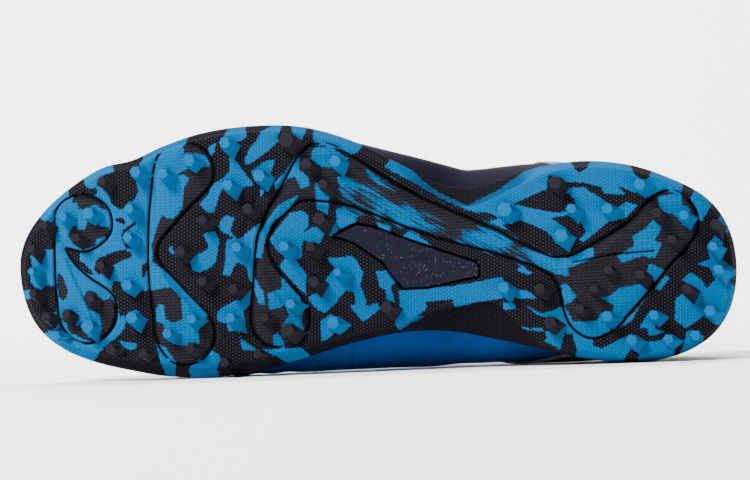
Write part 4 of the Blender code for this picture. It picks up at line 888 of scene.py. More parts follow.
tree.links.new(polish, shader.inputs["Roughness"])
shader.inputs["Specular IOR Level"].default_value = 0.1
tilt = node(tree, "Bump", {"Height": lone, "Strength": 0.4, "Distance": 0.0001})
tree.links.new(tilt.outputs["Normal"], shader.inputs["Normal"])
plate = frame["nodes"]["arch_plate"]
plate.data.materials.clear()
plate.data.materials.append(flake_plastic)


# Upper. Satin-coated synthetic on a fabric backing, cut in panels and lasted to the shape of a
# foot: a blue forefoot and medial side, a navy lateral quarter, eyestay and collar band stitched
# on top. One wall of real thickness, open at the collar and throat.
OVERLAY = 0.0005
STITCH_LENGTH = 0.0026
STITCH_GAP = 0.0010
STITCH_THICKNESS = 0.0005
ROW_RIM, ROW_ABOVE_RIM, ROW_GIRTH, ROW_TOP = 2.0, 3.0, 7.0, 14.0

# Widest line of the upper beyond the rim as a share of the ball width, lateral and medial.
GIRTH = [
    # along, lateral, medial
    (0.00, -0.024, -0.024),
    (0.10, -0.024, -0.024),
    (0.18, -0.020, -0.006),
    (0.22, -0.012, 0.018),
    (0.26, 0.008, 0.048),
    (0.31, 0.040, 0.092),
    (0.36, 0.070, 0.128),
    (0.42, 0.082, 0.158),
    (0.47, 0.046, 0.152),
    (0.53, 0.002, 0.123),
    (0.60, -0.018, 0.069),
    (0.65, -0.024, 0.032),
    (0.70, -0.024, 0.012),
    (0.74, -0.024, 0.002),
    (0.78, -0.024, -0.006),
    (0.84, -0.022, -0.014),
    (0.92, -0.020, -0.018),
    (1.00, -0.018, -0.018),
]

# Top edge of the upper: the collar, then the throat, then the ridge of the vamp.
TOP = [
    # station, along, half width, heel share, instep share, lean
    (0.000, 0.022, 0.000, 1.000, 0.000, 0.00),
    (0.020, 0.030, 0.110, 0.993, 0.000, 0.02),
    (0.050, 0.050, 0.200, 0.960, 0.000, 0.06),
    (0.100, 0.100, 0.282, 0.870, 0.000, 0.10),
    (0.170, 0.172, 0.318, 0.778, 0.000, 0.14),
    (0.250, 0.248, 0.322, 0.518, 0.229, 0.16),
    (0.330, 0.322, 0.288, 0.306, 0.510, 0.22),
    (0.380, 0.374, 0.236, 0.156, 0.765, 0.34),
    (0.420, 0.410, 0.186, 0.000, 0.999, 0.46),
    (0.480, 0.470, 0.158, 0.000, 0.920, 0.56),
    (0.550, 0.538, 0.136, 0.000, 0.813, 0.64),
    (0.620, 0.602, 0.106, 0.000, 0.718, 0.74),
    (0.665, 0.646, 0.066, 0.000, 0.662, 0.86),
    (0.695, 0.672, 0.000, 0.000, 0.634, 1.00),
    (0.760, 0.728, 0.000, 0.000, 0.572, 1.00),
    (0.840, 0.790, 0.000, 0.000, 0.512, 1.00),
    (0.920, 0.852, 0.000, 0.000, 0.469, 1.00),
    (1.000, 0.905, 0.000, 0.000, 0.442, 1.00),
]

CENTRE = [(0.00, -0.036), (0.30, -0.030), (0.50, -0.015), (0.67, -0.030), (0.85, -0.050),
          (1.00, -0.050)]

# Soft creases of the upper: a line in millimetres along and up from the rim, its width, its depth.
CREASES = {
    "medial": [([(196.0, 2.0), (192.0, 18.0), (184.0, 34.0)], 3.2, 0.7),
               ([(207.0, 3.0), (206.0, 20.0), (200.0, 38.0)], 3.0, 0.6),
               ([(186.0, 6.0), (178.0, 20.0), (170.0, 32.0)], 3.0, 0.5),
               ([(86.0, 30.0), (100.0, 36.0), (116.0, 38.0)], 4.0, 0.5),
               ([(150.0, 8.0), (160.0, 10.0), (172.0, 9.0)], 3.0, -0.4)],
    "lateral": [([(192.0, 2.0), (188.0, 18.0), (182.0, 32.0)], 3.2, 0.7),
                ([(203.0, 3.0), (202.0, 20.0), (198.0, 36.0)], 3.0, 0.6),
                ([(182.0, 5.0), (174.0, 18.0), (168.0, 30.0)], 3.0, 0.5),
                ([(84.0, 28.0), (98.0, 34.0), (114.0, 36.0)], 4.0, 0.5)],
}


# Panels laid on the upper, in millimetres. The eyestay is drawn along and by ten times the row,
# the other two along and up from the rim. The collar band and the heel cap are straight cuts.
EYESTAY = [(104.0, 111.0), (118.0, 110.0), (150.0, 113.0), (182.0, 116.0), (200.0, 122.0),
           (206.0, 133.0), (206.0, 150.0), (104.0, 150.0)]
LATERAL_QUARTER = [(-40.0, -30.0), (196.0, -30.0), (190.0, 4.0), (176.0, 24.0), (166.0, 44.0),
                   (158.0, 70.0), (150.0, 120.0), (-40.0, 120.0)]
MEDIAL_STRIP = [(52.0, -30.0), (64.0, 4.5), (100.0, 3.2), (150.0, 2.4), (172.0, 0.0), (180.0, -30.0)]
COLLAR_BAND_WIDTH = 14.0
COLLAR_BAND_END = 118.0
HEEL_CAP_END = 70.0
HEEL_CAP_SLANT = 0.3


def bend(a, leave, b, arrive, t):
    """A curve from a to b that starts and ends along two given ways."""
    t = t[:, None]
    return ((2 * t ** 3 - 3 * t ** 2 + 1) * a + (t ** 3 - 2 * t ** 2 + t) * leave
            + (3 * t ** 2 - 2 * t ** 3) * b + (t ** 3 - t ** 2) * arrive)


def skin(side, share, row):
    """Places on the outside of the upper. Row 0 is in the cup, 2 the rim, 7 the widest line, 14 the top."""
    share, row = [np.array(a, float).ravel() for a in np.broadcast_arrays(share, row)]
    floor, rim, widest = level(2, share), level(3, share), level(4, share)
    seat = LIP + CLEARANCE + FLARE
    pinch = 0.2 * WALL + 0.22 * np.maximum(tread_inset(side, share) - 0.026 * BALL_WIDTH, 0.0)
    foot = rim_point(side, share, -seat - pinch, floor + CLEARANCE)
    shelf = rim_point(side, share, -seat - 0.55 * pinch, floor + 1.5 * CLEARANCE + INSOLE)
    start = rim_point(side, share, -seat, rim)
    swell = at(GIRTH, 1 if side == "lateral" else 2, share, turn) * BALL_WIDTH
    girth = rim_point(side, share, swell, widest)
    half = np.maximum(at(TOP, 2, share), 0.0) * BALL_WIDTH
    along = at(TOP, 1, share)
    top = np.column_stack([along * LENGTH, at(CENTRE, 1, along) * BALL_WIDTH + sign_of(side) * half,
                           at(TOP, 3, share) * HEEL_HEIGHT + at(TOP, 4, share) * INSTEP_HEIGHT])
    lean = at(TOP, 5, share)
    up = np.array([[0.0, 0.0, 1.0]])
    rise = np.linalg.norm(girth - start, axis=1)[:, None]
    away = (girth - start) * (1.0, 1.0, 0.0)
    low = bend(start, up * 0.8 * rise + away * 0.9, girth, up * rise,
               np.where(row < ROW_ABOVE_RIM, 0.10 * (row - ROW_RIM),
                        0.10 + 0.90 * (row - ROW_ABOVE_RIM) / (ROW_GIRTH - ROW_ABOVE_RIM)))
    inward = (top - girth) * (1.0, 1.0, 0.0)
    fall = (top - girth)[:, 2]
    reach = np.linalg.norm(inward, axis=1)[:, None]
    arrive = (up * (np.maximum(fall, 2.0 * WALL) * 1.1 * (1.0 - lean))[:, None]
              + inward * 1.45 * lean[:, None])
    push = (0.25 * fall * np.minimum(lean * 2.0, 1.0) * (1.0 - lean))[:, None]
    arrive = arrive + np.where(reach > 1e-6, inward / np.maximum(reach, 1e-9) * push, 0.0)
    high = bend(girth, up * (np.maximum(fall, 3.0 * WALL) * (1.2 + 0.35 * lean))[:, None], top, arrive,
                (row - ROW_GIRTH) / (ROW_TOP - ROW_GIRTH))
    row = row[:, None]
    hidden = np.where(row < 1.0, foot + (shelf - foot) * row, shelf + (start - shelf) * (row - 1.0))
    return np.where(row < ROW_RIM, hidden, np.where(row < ROW_GIRTH, low, high))


def skin_out(side, share, row):
    """Direction out of the upper at places on it."""
    share, row = [np.array(a, float).ravel() for a in np.broadcast_arrays(share, row)]
    ahead, behind = np.minimum(share + 0.004, 1.0), np.maximum(share - 0.004, 0.0)
    above, below = np.minimum(row + 0.08, ROW_TOP), np.maximum(row - 0.08, 0.0)
    along = skin(side, ahead, row) - skin(side, behind, row)
    upward = skin(side, share, above) - skin(side, share, below)
    out = np.cross(upward, along) * sign_of(side)
    return out / np.maximum(np.linalg.norm(out, axis=1)[:, None], 1e-12)


UPPER_STATIONS = 260
upper_share = 0.5 - 0.5 * np.cos(np.linspace(0.0, math.pi, UPPER_STATIONS + 1))
upper_rows = np.concatenate([[0.0, 1.0, 2.0], np.linspace(2.2, 7.0, 18), np.linspace(7.2, 14.0, 44)])
grid_share, grid_row = np.meshgrid(upper_share, upper_rows, indexing="ij")
halves = {}
for side in ("medial", "lateral"):
    place = skin(side, grid_share, grid_row)
    out = skin_out(side, grid_share, grid_row)
    sheet = place.reshape(len(upper_share), len(upper_rows), 3)
    climb = np.concatenate([np.zeros((len(upper_share), 3)), np.cumsum(
        np.linalg.norm(np.diff(sheet[:, 2:], axis=1), axis=2), axis=1)], 1)
    flat = np.column_stack([place[:, 0], climb.ravel()]) * 1000.0
    top_edge = np.repeat(climb[:, -1], len(upper_rows)) * 1000.0 - flat[:, 1]
    throat = inside(np.column_stack([place[:, 0], grid_row.ravel() / 100.0]) * 1000.0, EYESTAY)
    band = np.minimum(COLLAR_BAND_WIDTH - top_edge, COLLAR_BAND_END - place[:, 0] * 1000.0)
    navy = np.maximum(band, throat)
    if side == "lateral":
        navy = np.maximum(navy, inside(flat, LATERAL_QUARTER))
    else:
        heel_cap = HEEL_CAP_END - flat[:, 0] - HEEL_CAP_SLANT * flat[:, 1]
        navy = np.maximum(np.maximum(navy, inside(flat, MEDIAL_STRIP)), heel_cap)
    crease = np.zeros(len(flat))
    for line, width, depth in CREASES[side]:
        distance = np.abs(beside(flat, line))
        ends = np.minimum(np.hypot(*(flat - line[0]).T), np.hypot(*(flat - line[-1]).T))
        crease += depth * np.exp(-(distance / width) ** 2) * smooth(0.0, 9.0, ends)
    clear_of_sole = smooth(2.6, 4.2, grid_row.ravel())
    place = place + out * (OVERLAY * smooth(-0.35, 0.35, navy) * clear_of_sole
                           - crease * 0.001 * clear_of_sole)[:, None]
    halves[side] = (place, navy, flat[:, 1])
count = len(upper_rows)
stacked = []
for n in range(3):
    medial, lateral = [halves[side][n].reshape(len(upper_share), count, -1)
                       for side in ("medial", "lateral")]
    stacked.append(np.concatenate([medial, lateral[:, ::-1]], 1).reshape(len(upper_share) * count * 2, -1))
faces = [face for face in lattice(len(upper_share), count * 2) if face[0] % (count * 2) != count - 1]
faces = [face[::-1] for face in faces]
upper = piece("upper_shell", stacked[0], faces, navy=stacked[1][:, 0], climb=stacked[2][:, 0])
weld(upper, 2e-5)
wall = upper.modifiers.new("wall", "SOLIDIFY")
wall.thickness = WALL
wall.offset = -1.0
wall.use_even_offset = False
wall.material_offset = 1
wall.material_offset_rim = 0

# Satin-coated synthetic: a smooth film with a soft sheen, and a fine pebble over the forefoot.
SATIN_BLUE = "#00448c"
SATIN_DEEP = "#002c62"
NAVY = "#070516"
PEBBLE_SIZE = 0.0009
SEAM_ALONG = 0.155

satin, tree, shader = finish("satin_coated_synthetic")
last = node(tree, "Attribute", attribute_name="last").outputs["Vector"]
navy = node(tree, "Attribute", attribute_name="navy").outputs["Fac"]
climb = node(tree, "Attribute", attribute_name="climb").outputs["Fac"]
along = node(tree, "SeparateXYZ", {0: last}).outputs["X"]
cloud = node(tree, "TexNoise", {"Vector": last, "Scale": 55.0, "Detail": 3.0}).outputs["Fac"]
# Painted shade: the blue deepens towards the sole over the lowest 13 mm of the upper; the noise adds a
# random mottled tone.
low = node(tree, "MapRange", {0: climb, 1: 13.0, 2: 1.0}).outputs[0]
cloudy = node(tree, "MapRange", {0: cloud, 1: 0.35, 2: 0.75, 3: 0.0, 4: 0.4}).outputs[0]
shade_and_tone = node(tree, "Math", {0: low, 1: 0.8, 2: cloudy}, operation="MULTIPLY_ADD", use_clamp=True).outputs[0]
blue = node(tree, "Mix", {"Factor": shade_and_tone, 6: colour(SATIN_BLUE), 7: colour(SATIN_DEEP)},
            data_type="RGBA").outputs[2]
speck = node(tree, "TexNoise", {"Vector": last, "Scale": 1500.0, "Detail": 1.0}).outputs["Fac"]
pebbled = node(tree, "MapRange", {0: along, 1: 0.152, 2: 0.160}).outputs[0]
speck = node(tree, "MapRange", {0: speck, 1: 0.50, 2: 0.64, 3: 0.0, 4: 0.32}).outputs[0]
speck = node(tree, "Math", {0: speck, 1: pebbled}, operation="MULTIPLY").outputs[0]
blue = node(tree, "Mix", {"Factor": speck, 6: blue, 7: colour("#1f63a8")}, data_type="RGBA").outputs[2]
seam = node(tree, "Math", {0: along, 1: SEAM_ALONG}, operation="SUBTRACT").outputs[0]
seam = node(tree, "Math", {0: seam}, operation="ABSOLUTE").outputs[0]
seam = node(tree, "MapRange", {0: seam, 1: 0.0007, 2: 0.0002, 3: 0.0, 4: 0.4}).outputs[0]
blue = node(tree, "Mix", {"Factor": seam, 6: blue, 7: colour(SATIN_DEEP)}, data_type="RGBA").outputs[2]
rise = node(tree, "MapRange", {0: navy, 1: -0.7, 2: -0.1}).outputs[0]
fall = node(tree, "MapRange", {0: navy, 1: 0.7, 2: 0.1, 3: 0.0, 4: 0.75}).outputs[0]
edge = node(tree, "Math", {0: rise, 1: fall}, operation="MULTIPLY").outputs[0]
stitched_on = node(tree, "MapRange", {0: navy, 1: -0.08, 2: 0.08}).outputs[0]
panels = node(tree, "Mix", {"Factor": stitched_on, 6: blue, 7: colour(NAVY)},
              data_type="RGBA").outputs[2]
panels = node(tree, "Mix", {"Factor": edge, 6: panels, 7: colour("#020204")},
              data_type="RGBA").outputs[2]
tree.links.new(panels, shader.inputs["Base Color"])
matt = node(tree, "MapRange", {0: navy, 1: -0.1, 2: 0.1, 3: 0.44, 4: 0.70}).outputs[0]
tree.links.new(matt, shader.inputs["Roughness"])
shader.inputs["Specular IOR Level"].default_value = 0.04
pebble = node(tree, "TexVoronoi", {"Vector": last, "Scale": 1.0 / PEBBLE_SIZE}, feature="SMOOTH_F1")
soft = node(tree, "Mix", {"Factor": pebbled, "A": 0.15, "B": 0.75}).outputs[0]
skin_bump = node(tree, "Bump", {"Height": pebble.outputs["Distance"], "Strength": soft,
                                "Distance": 0.00008})
tree.links.new(skin_bump.outputs["Normal"], shader.inputs["Normal"])

# Lining of the upper: knitted polyester, dull and dark, its loops drawn a little coarse to show.
KNIT_PITCH = 0.0012

knit, tree, shader = finish("knitted_polyester_lining")
place = node(tree, "Attribute", attribute_name="last").outputs["Vector"]
loops = hexagon_pack(tree, place, KNIT_PITCH)
crest = node(tree, "MapRange", {0: loops, 1: -1.0, 2: 2.5}).outputs[0]
tone = node(tree, "Mix", {"Factor": crest, 6: colour("#07070b"),
                          7: colour("#17171f")}, data_type="RGBA").outputs[2]
tree.links.new(tone, shader.inputs["Base Color"])
shader.inputs["Roughness"].default_value = 0.92
shader.inputs["Sheen Weight"].default_value = 0.04
weave = node(tree, "Bump", {"Height": crest, "Strength": 0.6, "Distance": 0.0003})
tree.links.new(weave.outputs["Normal"], shader.inputs["Normal"])
upper.data.materials.append(satin)
upper.data.materials.append(knit)
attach(upper, "root")
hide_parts("upper")

# Stitching. Lock stitches of bonded polyester along the eyestay, the collar band and the seam of
# the lateral quarter, each a short raised strand.

# Runs of stitches: side, then places as station share and row of the upper.
STITCHED = [
    ("lateral", [(0.40, 13.0), (0.46, 12.6), (0.54, 12.4), (0.62, 12.4), (0.68, 12.8), (0.70, 13.6)]),
    ("medial", [(0.40, 13.0), (0.46, 12.6), (0.54, 12.4), (0.62, 12.4), (0.68, 12.8), (0.70, 13.6)]),
    ("lateral", [(0.01, 11.6), (0.10, 11.5), (0.20, 11.4), (0.30, 11.6), (0.37, 12.2)]),
    ("medial", [(0.01, 11.6), (0.10, 11.5), (0.20, 11.4), (0.30, 11.6), (0.37, 12.2)]),
    ("lateral", [(0.655, 3.4), (0.650, 4.6), (0.630, 6.4), (0.600, 8.4), (0.580, 10.4), (0.562, 12.2)]),
]


def stitch_run(side, route):
    """Stitches along a route of (share, row) places on the upper."""
    route = np.array(route, float)
    fine = np.linspace(0, len(route) - 1, 400)
    dense = np.column_stack([np.interp(fine, np.arange(len(route)), route[:, k]) for k in (0, 1)])
    place = skin(side, dense[:, 0], dense[:, 1])
    out = skin_out(side, dense[:, 0], dense[:, 1])
    lengths = np.concatenate(([0.0], np.cumsum(np.linalg.norm(np.diff(place, axis=0), axis=1))))
    points, faces = [], []
    start = 0.0
    while start + STITCH_LENGTH < lengths[-1]:
        first = len(points)
        for k, lift in enumerate((-0.2, 0.75, 0.9, 0.75, -0.2)):
            mark = start + STITCH_LENGTH * k / 4
            here = np.array([np.interp(mark, lengths, place[:, n]) for n in range(3)])
            there = np.array([np.interp(mark + 1e-4, lengths, place[:, n]) for n in range(3)])
            normal = np.array([np.interp(mark, lengths, out[:, n]) for n in range(3)])
            ahead = (there - here) / max(np.linalg.norm(there - here), 1e-9)
            sideways = np.cross(normal, ahead)
            centre = here + normal * (OVERLAY + STITCH_THICKNESS * 0.5 * lift)
            for n in range(6):
                turned = math.pi * n / 3
                points.append(centre + (sideways * math.cos(turned) + normal * math.sin(turned))
                              * STITCH_THICKNESS * 0.5)
        faces += [tuple(first + i for i in face) for face in lattice(5, 6, closed=True)]
        faces += [tuple(first + n for n in range(5, -1, -1)), tuple(first + 24 + n for n in range(6))]
        start += STITCH_LENGTH + STITCH_GAP
    return points, faces


thread_points, thread_faces = [], []
for side, route in STITCHED:
    points, faces = stitch_run(side, route)
    thread_faces += [tuple(n + len(thread_points) for n in face) for face in faces]
    thread_points += points
stitches = piece("stitching", np.array(thread_points), thread_faces)
stitches.data.shade_smooth()
thread, tree, shader = finish("bonded_polyester_thread")
ply = node(tree, "TexNoise", {"Vector": node(tree, "Attribute", attribute_name="last").outputs["Vector"],
                              "Scale": 2500.0}).outputs["Fac"]
tone = node(tree, "Mix", {"Factor": ply, 6: colour("#061d3c"), 7: colour("#144171")}, data_type="RGBA")
tree.links.new(tone.outputs[2], shader.inputs["Base Color"])
shader.inputs["Roughness"].default_value = 0.55
stitches.data.materials.append(thread)
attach(stitches, "root")


# Heel counter. A thin shell of moulded thermoplastic round the heel, glued over the upper, ribbed
# lengthwise, with a smooth pale edge at both its fronts, where the ribs begin.
COUNTER = 0.0010
RIB_PITCH = 0.0018
RIB_DEPTH = 0.00035
COUNTER_FRONT = {"lateral": (0.235, 0.5), "medial": (0.205, 1.25)}
COUNTER_REACH = 0.113
COUNTER_ROWS = (3.05, 9.0)
EDGE_EASE = 0.35
RIB_SLOPE = 0.16

counter_rows = np.linspace(*COUNTER_ROWS, 190)
counter_steps = np.linspace(0.0, 1.0, 110)
counter_sheets = {}
for side in ("medial", "lateral"):
    foot, slant = COUNTER_FRONT[side]
    foot_height = level(3, np.array([foot]))[0]
    scan = np.linspace(0.0, 0.5, 400)
    sheet, ribs, front = [], [], []
    for row in counter_rows:
        trail = skin(side, scan, row)
        end = np.minimum(foot * LENGTH + slant * (trail[:, 2] - foot_height), COUNTER_REACH)
        beyond = trail[:, 0] - end
        limit = np.interp(0.0, beyond, scan)
        reach = 0.5 - 0.5 * np.cos(turn(np.array([limit]))[0] * counter_steps)
        place = skin(side, reach, row)
        out = skin_out(side, reach, row)
        to_front = np.linalg.norm(place[-1] - place, axis=1) * 1000.0
        mark = place[:, 2] * 1000.0 + RIB_SLOPE * place[:, 0] * 1000.0
        groove = 0.5 - 0.5 * np.cos(2.0 * math.pi * mark / (RIB_PITCH * 1000.0))
        groove = groove * smooth(1.6, 3.2, to_front) * (0.35 + 0.65 * np.exp(-to_front / 18.0))
        edge = min(row - COUNTER_ROWS[0], COUNTER_ROWS[1] - row) / EDGE_EASE
        lift = CLEARANCE + COUNTER * (0.55 + 0.45 * min(edge, 1.0) ** 0.5) - RIB_DEPTH * groove
        sheet.append(place + out * lift[:, None])
        ribs.append(groove)
        front.append(to_front)
    counter_sheets[side] = [np.array(part) for part in (sheet, ribs, front)]
stacked = [np.concatenate([counter_sheets["medial"][n][:, ::-1], counter_sheets["lateral"][n]], 1)
           for n in range(3)]
rows_high, wide = stacked[1].shape
faces = [face[::-1] for face in lattice(rows_high, wide)]
counter = piece("heel_counter_shell", stacked[0].reshape(-1, 3), faces, rib=stacked[1].ravel(),
                front=stacked[2].ravel())
weld(counter, 5e-6)
shell = counter.modifiers.new("thickness", "SOLIDIFY")
shell.thickness = COUNTER * 0.9
shell.offset = -1.0
shell.use_even_offset = False

# Moulded thermoplastic: hard, slightly glossy on the rib tops, with painted shade, near black, down in the
# slots.
plastic, tree, shader = finish("moulded_thermoplastic_ribbed")
rib = node(tree, "Attribute", attribute_name="rib").outputs["Fac"]
front = node(tree, "Attribute", attribute_name="front").outputs["Fac"]
back = node(tree, "MapRange", {0: front, 1: 2.0, 2: 16.0}).outputs[0]
rim_edge = node(tree, "MapRange", {0: front, 1: 2.6, 2: 1.5}).outputs[0]
# Painted shade: the slots between the ribs are painted near black.
slot = node(tree, "MapRange", {0: rib, 1: 0.35, 2: 0.8}).outputs[0]
body = node(tree, "Mix", {"Factor": back, 6: colour("#544e56"),
                          7: colour("#141318")}, data_type="RGBA").outputs[2]
body = node(tree, "Mix", {"Factor": rim_edge, 6: body,
                          7: colour("#6e656a")}, data_type="RGBA").outputs[2]
body = node(tree, "Mix", {"Factor": slot, 6: body, 7: colour("#040306")},
            data_type="RGBA").outputs[2]
tree.links.new(body, shader.inputs["Base Color"])
shader.inputs["Roughness"].default_value = 0.42
shader.inputs["Specular IOR Level"].default_value = 0.08
counter.data.materials.append(plastic)
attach(counter, "root")
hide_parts("heel_counter")


# Collar padding. A roll of foam under knitted fabric, sewn inside the top of the collar from one
# side of the throat round the heel to the other.
PAD_THICKNESS = 0.0034
PAD_ROWS = (13.85, 10.2)
PAD_END = 0.385
PAD_POINTS = 10

pad_share = 0.5 - 0.5 * np.cos(turn(np.array([PAD_END]))[0] * np.linspace(0.0, 1.0, 90))
ring = []
for k in range(2 * PAD_POINTS):
    side_out = k < PAD_POINTS
    t = k / PAD_POINTS if side_out else (k - PAD_POINTS) / PAD_POINTS
    ring.append((PAD_ROWS[0] + (PAD_ROWS[1] - PAD_ROWS[0]) * (t if side_out else 1.0 - t),
                 0.0 if side_out else math.sin(math.pi * max(t, 0.03)) ** 0.55))
sheets = {}
for side in ("medial", "lateral"):
    thinner = smooth(0.0, 0.06, 0.40 - pad_share)
    sheets[side] = np.stack([
        skin(side, pad_share, row) - skin_out(side, pad_share, row)
        * (WALL + CLEARANCE + PAD_THICKNESS * swell * thinner)[:, None] for row, swell in ring], 1)
stacked = np.concatenate([sheets["medial"][::-1], sheets["lateral"]], 0)
collar = piece("collar_padding", stacked.reshape(-1, 3), lattice(stacked.shape[0], len(ring), closed=True)
               + [tuple(range(len(ring)))[::-1],
                  tuple((stacked.shape[0] - 1) * len(ring) + n for n in range(len(ring)))])
weld(collar, 5e-6)
collar.data.materials.append(knit)
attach(collar, "root")


# Insole. A loose footbed of foam with a brushed knit top. It starts from its solid, with the
# edges and the heel seat rounded.
INSOLE_FINENESS = 0.0014
INSOLE_ROUNDS = 6


def softened(name, source, size, rounds):
    """A copy of a solid with its edges rounded, at a fine even mesh."""
    made = bpy.data.objects.new(name, frame["nodes"][source].data.copy())
    bpy.context.scene.collection.objects.link(made)
    made.data.materials.clear()
    even = made.modifiers.new("even", "REMESH")
    even.mode = "VOXEL"
    even.voxel_size = size
    ease = made.modifiers.new("ease", "SMOOTH")
    ease.factor = 0.5
    ease.iterations = rounds
    made.data = bpy.data.meshes.new_from_object(made.evaluated_get(bpy.context.evaluated_depsgraph_get()))
    made.modifiers.clear()
    made.data.shade_smooth()
    return made


insole = softened("insole_footbed", "insole", INSOLE_FINENESS, INSOLE_ROUNDS)
brushed, tree, shader = finish("brushed_knit_on_foam")
place = node(tree, "TexCoord").outputs["Object"]
loops = node(tree, "TexVoronoi", {"Vector": place, "Scale": 1.0 / KNIT_PITCH}).outputs["Distance"]
crest = node(tree, "MapRange", {0: loops, 1: 0.1, 2: 0.6}).outputs[0]
tone = node(tree, "Mix", {"Factor": crest, 6: colour("#171b2a"),
                          7: colour("#090a10")}, data_type="RGBA").outputs[2]
tree.links.new(tone, shader.inputs["Base Color"])
shader.inputs["Roughness"].default_value = 0.95
shader.inputs["Sheen Weight"].default_value = 0.05
nap = node(tree, "Bump", {"Height": loops, "Strength": 0.5, "Distance": 0.0003})
tree.links.new(nap.outputs["Normal"], shader.inputs["Normal"])
insole.data.materials.append(brushed)
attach(insole, "root")
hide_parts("insole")


# Tongue. Foam between two layers of warp-knit mesh, bound at its edge, sewn in at the toe end of
# the throat and free above.
MESH_PITCH = 0.0017
TONGUE_FINENESS = 0.0009
TONGUE_ROUNDS = 8

tongue = softened("tongue_pad", "tongue", TONGUE_FINENESS, TONGUE_ROUNDS)
warp_knit, tree, shader = finish("warp_knit_mesh_over_foam")
place = node(tree, "TexCoord").outputs["Object"]
holes = node(tree, "TexVoronoi", {"Vector": place, "Scale": 1.0 / MESH_PITCH, "Randomness": 0.15})
rim = node(tree, "MapRange", {0: holes.outputs["Distance"], 1: 0.18, 2: 0.42}).outputs[0]
tone = node(tree, "Mix", {"Factor": rim, 6: colour("#05060c"),
                          7: colour("#0e1526")}, data_type="RGBA").outputs[2]
tree.links.new(tone, shader.inputs["Base Color"])
shader.inputs["Roughness"].default_value = 0.82
shader.inputs["Sheen Weight"].default_value = 0.04
pores = node(tree, "Bump", {"Height": holes.outputs["Distance"], "Strength": 0.7, "Distance": 0.0005})
tree.links.new(pores.outputs["Normal"], shader.inputs["Normal"])
tongue.data.materials.append(warp_knit)
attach(tongue, "root")
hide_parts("tongue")


# Lace and eyelets. One flat tubular braid of polyester crosses the throat between five pairs of
# punched holes, each bound by a moulded ring. Its ends go in at the top pair and stay inside.
LACE_WIDTH = 0.0048
LACE_DEPTH = 0.0011
EYELET_ROW = 13.65
EYELET_OUT = 0.0030
EYELET_HOLE = 0.0017
EYELET_HEIGHT = 0.0007
EYELET_SIDES = 28
EYELET_PAIRS = 5
FIRST_EYELET = 16.5 / 36
EYELET_STEP = 1.375 / 36
LACE_SIDES = 16
LACE_OVER = 1.0
LACE_UNDER = -0.3
TONGUE_CROWN = 0.0026

eyelet_share = [0.5 - 0.5 * math.cos(math.pi * (FIRST_EYELET + EYELET_STEP * k))
                for k in range(EYELET_PAIRS)]
eyelets = {(side, k): (skin(side, s, EYELET_ROW)[0], skin_out(side, s, EYELET_ROW)[0])
           for side in ("lateral", "medial") for k, s in enumerate(eyelet_share)}
points, faces = [], []
for centre, out in eyelets.values():
    first_arm = np.cross(out, (0.0, 1.0, 0.0))
    first_arm /= np.linalg.norm(first_arm)
    second_arm = np.cross(out, first_arm)
    profile = [(EYELET_OUT, OVERLAY - 0.0004), (EYELET_OUT - 0.0002, OVERLAY + 0.6 * EYELET_HEIGHT),
               (0.5 * (EYELET_OUT + EYELET_HOLE), OVERLAY + EYELET_HEIGHT),
               (EYELET_HOLE + 0.0002, OVERLAY + 0.6 * EYELET_HEIGHT), (EYELET_HOLE, OVERLAY - 0.0002),
               (0.0001, OVERLAY - 0.0002)]
    first = len(points)
    for radius, lift in profile:
        for n in range(EYELET_SIDES):
            angle = 2.0 * math.pi * n / EYELET_SIDES
            points.append(centre + (first_arm * math.cos(angle) + second_arm * math.sin(angle)) * radius
                          + out * lift)
    faces += [tuple(first + i for i in face)
              for face in lattice(len(profile), EYELET_SIDES, closed=True)]
    faces.append(tuple(first + EYELET_SIDES * (len(profile) - 1) + n for n in range(EYELET_SIDES)))
rings_made = piece("eyelets", np.array(points), faces)
rings_made.data.shade_smooth()
gloss, tree, shader = finish("moulded_nylon_ring")
scuff = node(tree, "TexNoise", {"Vector": node(tree, "Attribute", attribute_name="last").outputs["Vector"],
                                "Scale": 700.0}).outputs["Fac"]
dulled = node(tree, "MapRange", {0: scuff, 1: 0.3, 2: 0.7, 3: 0.28, 4: 0.44}).outputs[0]
tree.links.new(dulled, shader.inputs["Roughness"])
shader.inputs["Base Color"].default_value = colour("#0c0b11")
rings_made.data.materials.append(gloss)
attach(rings_made, "root")

